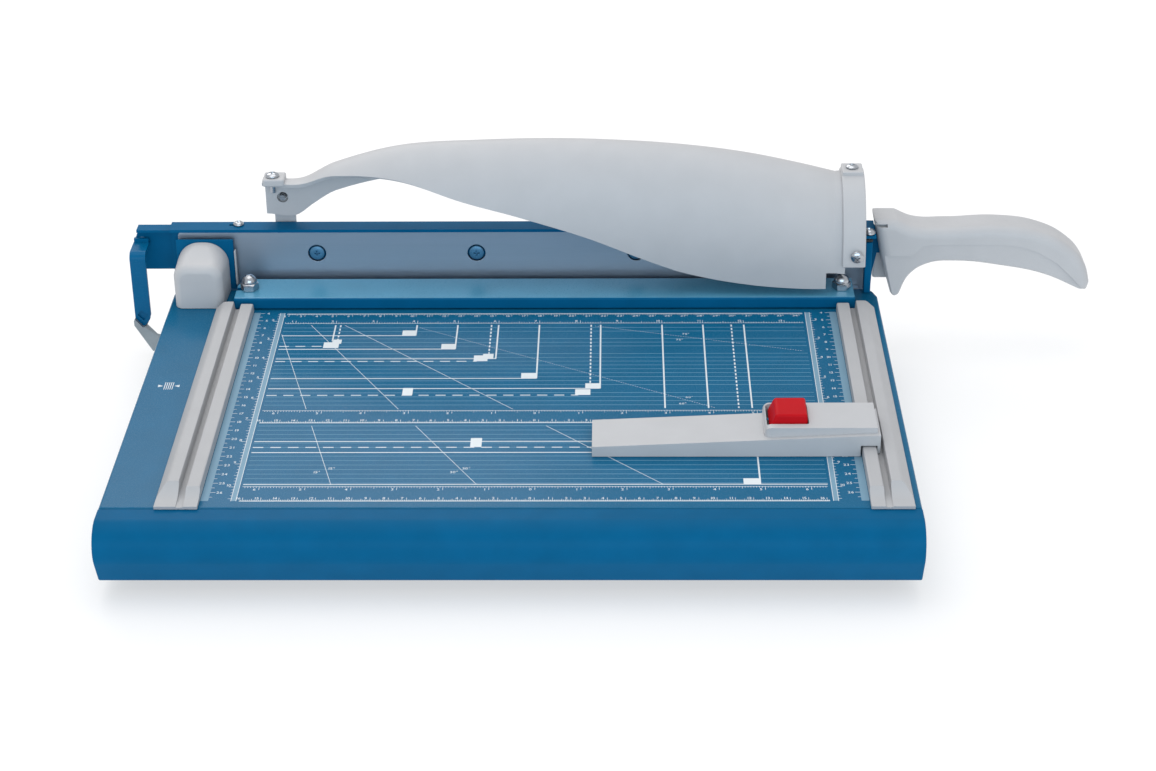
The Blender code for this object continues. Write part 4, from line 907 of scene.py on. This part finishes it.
def button_spring():
    """Spring under the release button, a coil of one fixed length."""
    low, high = span("button_spring")
    middle = (low + high) / 2
    wire, turns, around, steps = 0.45, 4, 10, 28
    radius = (high.x - low.x) / 2 - wire
    climb = high.z - low.z - 2 * wire
    vertices, faces = [], []
    count = turns * steps
    for i in range(count + 1):
        angle = 2 * pi * i / steps
        centre_z = low.z + wire + climb * i / count
        for k in range(around):
            turn = 2 * pi * k / around
            reach = radius + wire * cos(turn)
            vertices.append(at(middle.x + reach * cos(angle), middle.y + reach * sin(angle),
                               centre_z + wire * sin(turn)))
    for i in range(count):
        for k in range(around):
            j = (k + 1) % around
            faces.append((i * around + k, i * around + j, (i + 1) * around + j, (i + 1) * around + k))
    faces += [tuple(range(around)), tuple(range(count * around, (count + 1) * around))]
    spring = mesh_object("button_spring_coil", vertices, faces, ZINC)
    settle(spring, "gauge", "zinc_plate", "button_spring")
    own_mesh(spring)


def bracket_shim():
    """Thin bright strip that stands along the bracket's right edge."""
    strip = block("bracket_shim", (-198.3, -197.3), (-6.4, -2.8), (4.2, 27.5), PLASTIC)
    settle(bake(rounded(strip, 0.25, 2)), "base", "zinc_plate")


# Repainted frame nodes


def base_finish():
    repaint(BLADE, ["bed_knife"])
    repaint(RUBBER, ["clamp_pad", "gauge_brake_pad"])
    repaint(ZINC, ["front_cross_rail", "rear_cross_rail", "pivot_bolt", "pivot_nut", "pivot_washer",
                   "lever_hanger", "lever_axle", "clamp_yoke", "clamp_rod_left", "clamp_rod_right",
                   "rod_nut_left", "rod_nut_right", "clamp_spring_left", "clamp_spring_right"])
    repaint(DULL_ZINC, ["clamp_lever"])


# Printed table

INK_SINK, INK_STEP, INK_STEPS = -0.02, 0.001, 16
CAPITAL = 0.72
LETTER_GAP = 0.08
FIGURE, TICK = 2.4, 0.26
PRINT_LEFT, PRINT_RIGHT = -161.7, 161.5
SHEET_ZERO = -180.5
INCH = 25.4
METRIC = (54, 85, 105, 148, 210, 297)


@cache
def glyph(letter):
    """One figure as corners (x, y, raised), faces and width, one unit tall before scaling."""
    curve = bpy.data.curves.new("figure", 'FONT')
    curve.body = letter
    curve.extrude = 0.01
    curve.resolution_u = 2
    holder = placed("figure", curve)
    mesh = finished_mesh(holder)
    bpy.data.objects.remove(holder)
    bm = bmesh.new()
    bm.from_mesh(mesh)
    bmesh.ops.remove_doubles(bm, verts=bm.verts, dist=0.0001)
    bm.verts.index_update()
    corners = [(v.co.x, v.co.y, v.co.z > 0) for v in bm.verts]
    faces = [tuple(v.index for v in face.verts) for face in bm.faces]
    bm.free()
    return corners, faces, max(x for x, _, _ in corners) + LETTER_GAP


class Ink:
    """Print of one colour: closed solids as thin as a paint film, gathered into one mesh."""

    def __init__(self, height):
        self.height = height
        self.vertices = []
        self.faces = []

    def solid(self, outline):
        first, count = len(self.vertices), len(outline)
        top = self.height + (len(self.faces) // 6 % INK_STEPS) * INK_STEP
        self.vertices += [at(x, y, z) for z in (INK_SINK, top) for x, y in outline]
        self.faces += [tuple(range(first, first + count)), tuple(range(first + count, first + 2 * count))]
        for i in range(count):
            j = (i + 1) % count
            self.faces.append((first + i, first + j, first + count + j, first + count + i))

    def line(self, start, end, width):
        a, b = Vector(start), Vector(end)
        along = b - a
        side = Vector((-along.y, along.x)).normalized() * width / 2
        self.solid([a - side, b - side, b + side, a + side])

    def dashes(self, start, end, width, dash, gap):
        a, b = Vector(start), Vector(end)
        length = (b - a).length
        along = (b - a).normalized()
        place = 0.0
        while place < length:
            stop_at = min(place + dash, length)
            if stop_at - place > 0.1:
                self.line(a + along * place, a + along * stop_at, width)
            place += dash + gap

    def text(self, words, x, y, size):
        """Figures centred on x with their foot at y, size millimetres tall."""
        unit = size / CAPITAL
        pen = x - sum(glyph(letter)[2] for letter in words) * unit / 2
        for letter in words:
            corners, faces, width = glyph(letter)
            first = len(self.vertices)
            for u, v, raised in corners:
                self.vertices.append(at(pen + u * unit, y + v * unit, self.height if raised else INK_SINK))
            self.faces += [tuple(first + i for i in face) for face in faces]
            pen += width * unit

    def finish(self, name, material):
        settle(mesh_object(name, self.vertices, self.faces, material), "base", "blue_paint")


def scale(ink, place, label, low, high, zero, step, parts, reach):
    """Ruler marks: place(u, v) is u along the scale and v across it, label(u) is where its figure goes."""
    first = ceil((low - zero) * parts / step)
    last = int((high - zero) * parts / step)
    for n in range(first, last + 1):
        u = zero + n * step / parts
        if n % parts == 0:
            length = reach
            ink.text(str(abs(n // parts)), *label(u), FIGURE)
        elif n % (parts // 2) == 0:
            length = reach * 0.62
        else:
            length = reach * 0.38
        ink.line(place(u, 0), place(u, length), TICK)


def cross_scales(ink):
    """The three pairs of rulers that run across the table."""
    for depth, way, zero, step, parts, width in (
        (40.8, -1, SHEET_ZERO, 10, 10, 0.7), (54.0, 1, SHEET_ZERO, INCH, 16, 0.3),
        (166.7, -1, 0, INCH, 16, 0.3), (181.3, 1, 0, 10, 10, 0.7),
        (253.7, -1, 0, INCH, 16, 0.3), (269.2, 1, 0, 10, 10, 0.7),
    ):
        def place(u, v, depth=depth, way=way):
            return (u, -depth + way * v)

        def label(u, y=-depth + way * 3.0 - 1.2):
            return (u - 2.4, y)

        scale(ink, place, label, PRINT_LEFT, PRINT_RIGHT, zero, step, parts, 3.6)
        ink.line((PRINT_LEFT, -depth), (PRINT_RIGHT, -depth), width)


def depth_scales(ink, band):
    """Rulers down both sides, in centimetres at the rail and in inches at the ruled margin."""
    for side in (-1, 1):
        for base, way, label_x, rise, low, step, parts, reach in (
            (178.7, -1, 173.6, -1.2, 39, 10, 2, 2.8), (166.2, 1, 169.6, 0.6, 41, INCH, 8, 3.2),
        ):
            def place(u, v, side=side, base=base, way=way):
                return (side * (base + way * v), -u)

            def label(u, x=side * label_x, rise=rise):
                return (x, -u + rise)

            scale(ink, place, label, low, 269, 0, step, parts, reach)
        for x in (163.4, 166.2):
            ink.line((side * x, -269.2), (side * x, -39.5), 0.35)
        for near, far, rear in ((163.6, 166.0, -39.6), (178.7, 183.0, -39)):
            band.solid([(side * near, -269), (side * far, -269), (side * far, rear), (side * near, rear)])


def sheet_marks(ink):
    """Ruled corners of common sheet sizes, measured from the cut and the left margin, metric ones dashed."""
    rear, front, full, thick = -56.5, 251.4, 342, 0.9
    for width, depth in (
        (50.8, 78), (54, 82), (101.6, 70.7), (127, 88.9), (148, 95), (152.4, 101.6), (177.8, 127),
        (210, 136), (215.9, 139.7), (254, 164), (279.4, 164), (297, 164), (304.8, 164),
    ):
        ends = ((SHEET_ZERO + width, rear), (SHEET_ZERO + width, -depth))
        if width in METRIC:
            ink.dashes(*ends, thick, 2.6, 2.0)
        else:
            ink.line(*ends, thick)
    for depth, width in (
        (70.7, 101.6), (85, 48), (88.9, 127), (101.6, 152.4), (105, 141), (127, 177.8), (139.7, 215.9),
        (148, 203), (203.2, full), (210, full), (215.9, full), (front, full),
    ):
        ends = ((PRINT_LEFT, -depth), (SHEET_ZERO + width, -depth))
        if depth in METRIC:
            ink.dashes(*ends, 0.8, 6.0, 4.0)
        else:
            ink.line(*ends, 0.75)
    ink.line((124.5, -221), (124.5, -front), thick)
    for x, y, wide, deep in (
        (-134.6, -87.2, 9.4, 7.5), (-129.6, -81.6, 5.6, 5.6), (-87.3, -70.4, 8.0, 6.6),
        (-62.1, -88.5, 8.2, 6.4), (-41.4, -104.8, 8.4, 7.4), (-36.0, -101.4, 6.4, 6.0),
        (-11.9, -126.7, 8.9, 6.4), (20.7, -147.8, 9.0, 7.0), (26.6, -139.6, 8.4, 6.2),
        (-81.5, -147.6, 6.0, 8.6), (-38.1, -209.6, 6.4, 10.2), (115.3, -251.2, 9.0, 6.2),
    ):
        ink.solid([(x, y), (x + wide, y), (x + wide, y + deep), (x, y + deep)])


def row_marks(faint):
    rows = (70.7, 88.9, 101.6, 127, 139.7, 203.2, 215.9)
    for depth in list(range(60, 165, 5)) + list(range(185, 251, 5)):
        if min(abs(depth - row) for row in rows) > 1.2:
            faint.line((PRINT_LEFT, -depth), (PRINT_RIGHT, -depth), 0.45)


def angle_marks(ink):
    """Slanting lines at 15 degree steps, broken where the middle rulers cross them."""
    for x, start, degrees in ((-162, 69, 15), (-145, 56.5, 30), (-124, 56.5, 45)):
        slope = tan(radians(degrees))
        for low, high in ((start, 165), (185, 251)):
            ink.line((x + (low - start) * slope, -low), (x + (high - start) * slope, -high), 0.28)
        for side, depth in ((-6, 239), (3, 235)):
            if degrees < 45:
                ink.text("%d\u00b0" % degrees, x + (depth - start) * slope + side, -depth, 2.4)
    for x, start, degrees, end, at_x in ((-77, 60, 60, 164, 86), (32, 58, 75, 92, 86)):
        slope = tan(radians(degrees))
        ink.dashes((x, -start), (x + (end - start) * slope, -end), 0.28, 0.7, 0.9)
        line_y = -start - (at_x - x) / slope
        ink.text("%d\u00b0" % degrees, at_x + 2, line_y + 2.4, 2.2)
        ink.text("%d\u00b0" % degrees, at_x - 2, line_y - 5.4, 2.2)


def stack_mark(ink):
    """A stack of sheets between two pointers, on the left margin."""
    middle_x, middle_y = -221.4, -136.0
    for i in range(-2, 3):
        ink.line((middle_x + i * 1.2, middle_y - 4.4), (middle_x + i * 1.2, middle_y + 4.4), 0.45)
    for side in (-1, 1):
        near, far = middle_x + side * 3.4, middle_x + side * 6.4
        outline = [(near, middle_y), (far, middle_y - 1.5), (far, middle_y + 1.5)]
        ink.solid(outline if side > 0 else outline[::-1])


def printed_table():
    bold, fine, faint, band = Ink(0.05), Ink(0.045), Ink(0.03), Ink(0.02)
    cross_scales(fine)
    depth_scales(fine, band)
    sheet_marks(bold)
    row_marks(faint)
    angle_marks(fine)
    stack_mark(fine)
    bold.finish("print_sheet_marks", INK)
    fine.finish("print_scales", INK)
    faint.finish("print_rows", FAINT_INK)
    band.finish("print_bands", BAND_INK)


base_finish()
table()
printed_table()
shell()
guide("left_guide", -1)
guide("right_guide", 1)
pivot_cap()
bracket()
stop()
feet()
clamp_bar()
cap_nuts()
beam()
tail()
blade()
guard()
ring()
guard_leg()
handle()
screws()
strap()
gauge()
button()
button_spring()
bracket_shim()


# Studio


def area_light(name, place, target, size, power, colour):
    data = bpy.data.lights.new(name, 'AREA')
    data.shape = 'RECTANGLE'
    data.size, data.size_y = size
    data.energy = power
    data.color = colour
    light = placed(name, data)
    light.location = place
    light.rotation_euler = (Vector(target) - Vector(place)).to_track_quat('-Z', 'Y').to_euler()


def studio():
    half = 6.0
    floor = mesh_object("studio_floor", [(x * half, y * half, 0) for x, y in SQUARE], [(0, 1, 2, 3)],
                        textured("white_floor", (0.44, 0.44, 0.44), 0.9, 30.0, 0.02, 0.004))
    shader = floor.data.materials[0].node_tree.nodes["Principled BSDF"]
    shader.inputs["Emission Color"].default_value = (1, 1, 1, 1)
    shader.inputs["Emission Strength"].default_value = 0.52
    world = bpy.data.worlds.new("studio")
    bpy.context.scene.world = world
    world.use_nodes = True
    backdrop = world.node_tree.nodes["Background"]
    backdrop.inputs["Color"].default_value = (0.97, 0.98, 1.0, 1)
    backdrop.inputs["Strength"].default_value = 0.80
    centre = (0, 0, 0.05)
    area_light("overhead", (-0.15, 0.15, 1.6), centre, (1.6, 1.2), 9, (1.0, 0.97, 0.95))
    area_light("front_fill", (0.1, -2.0, 0.7), centre, (2.0, 1.0), 18, (0.60, 0.82, 1.0))
    area_light("rear_left_softbox", (-0.65, 1.45, 1.30), (-0.1, 0.0, 0.05), (1.3, 0.75), 8,
               (1.0, 0.98, 0.96))


def camera():
    data = bpy.data.cameras.new("camera")
    data.sensor_width = 36.0
    data.lens = 76.52
    eye = placed("camera", data)
    yaw, pitch, roll = (radians(value) for value in (-0.984, 28.271, -0.541))
    forward = Vector((sin(yaw) * cos(pitch), cos(yaw) * cos(pitch), -sin(pitch)))
    right = Vector((cos(yaw), -sin(yaw), 0))
    up = right.cross(forward)
    turned_right = cos(roll) * right + sin(roll) * up
    turned_up = cos(roll) * up - sin(roll) * right
    axes = Matrix((turned_right, turned_up, -forward)).transposed()
    eye.matrix_world = Matrix.Translation(at(44.35, -1421.27, 691.27)) @ axes.to_4x4()
    bpy.context.scene.camera = eye


studio()
camera()
bpy.context.scene.view_settings.view_transform = 'Standard'
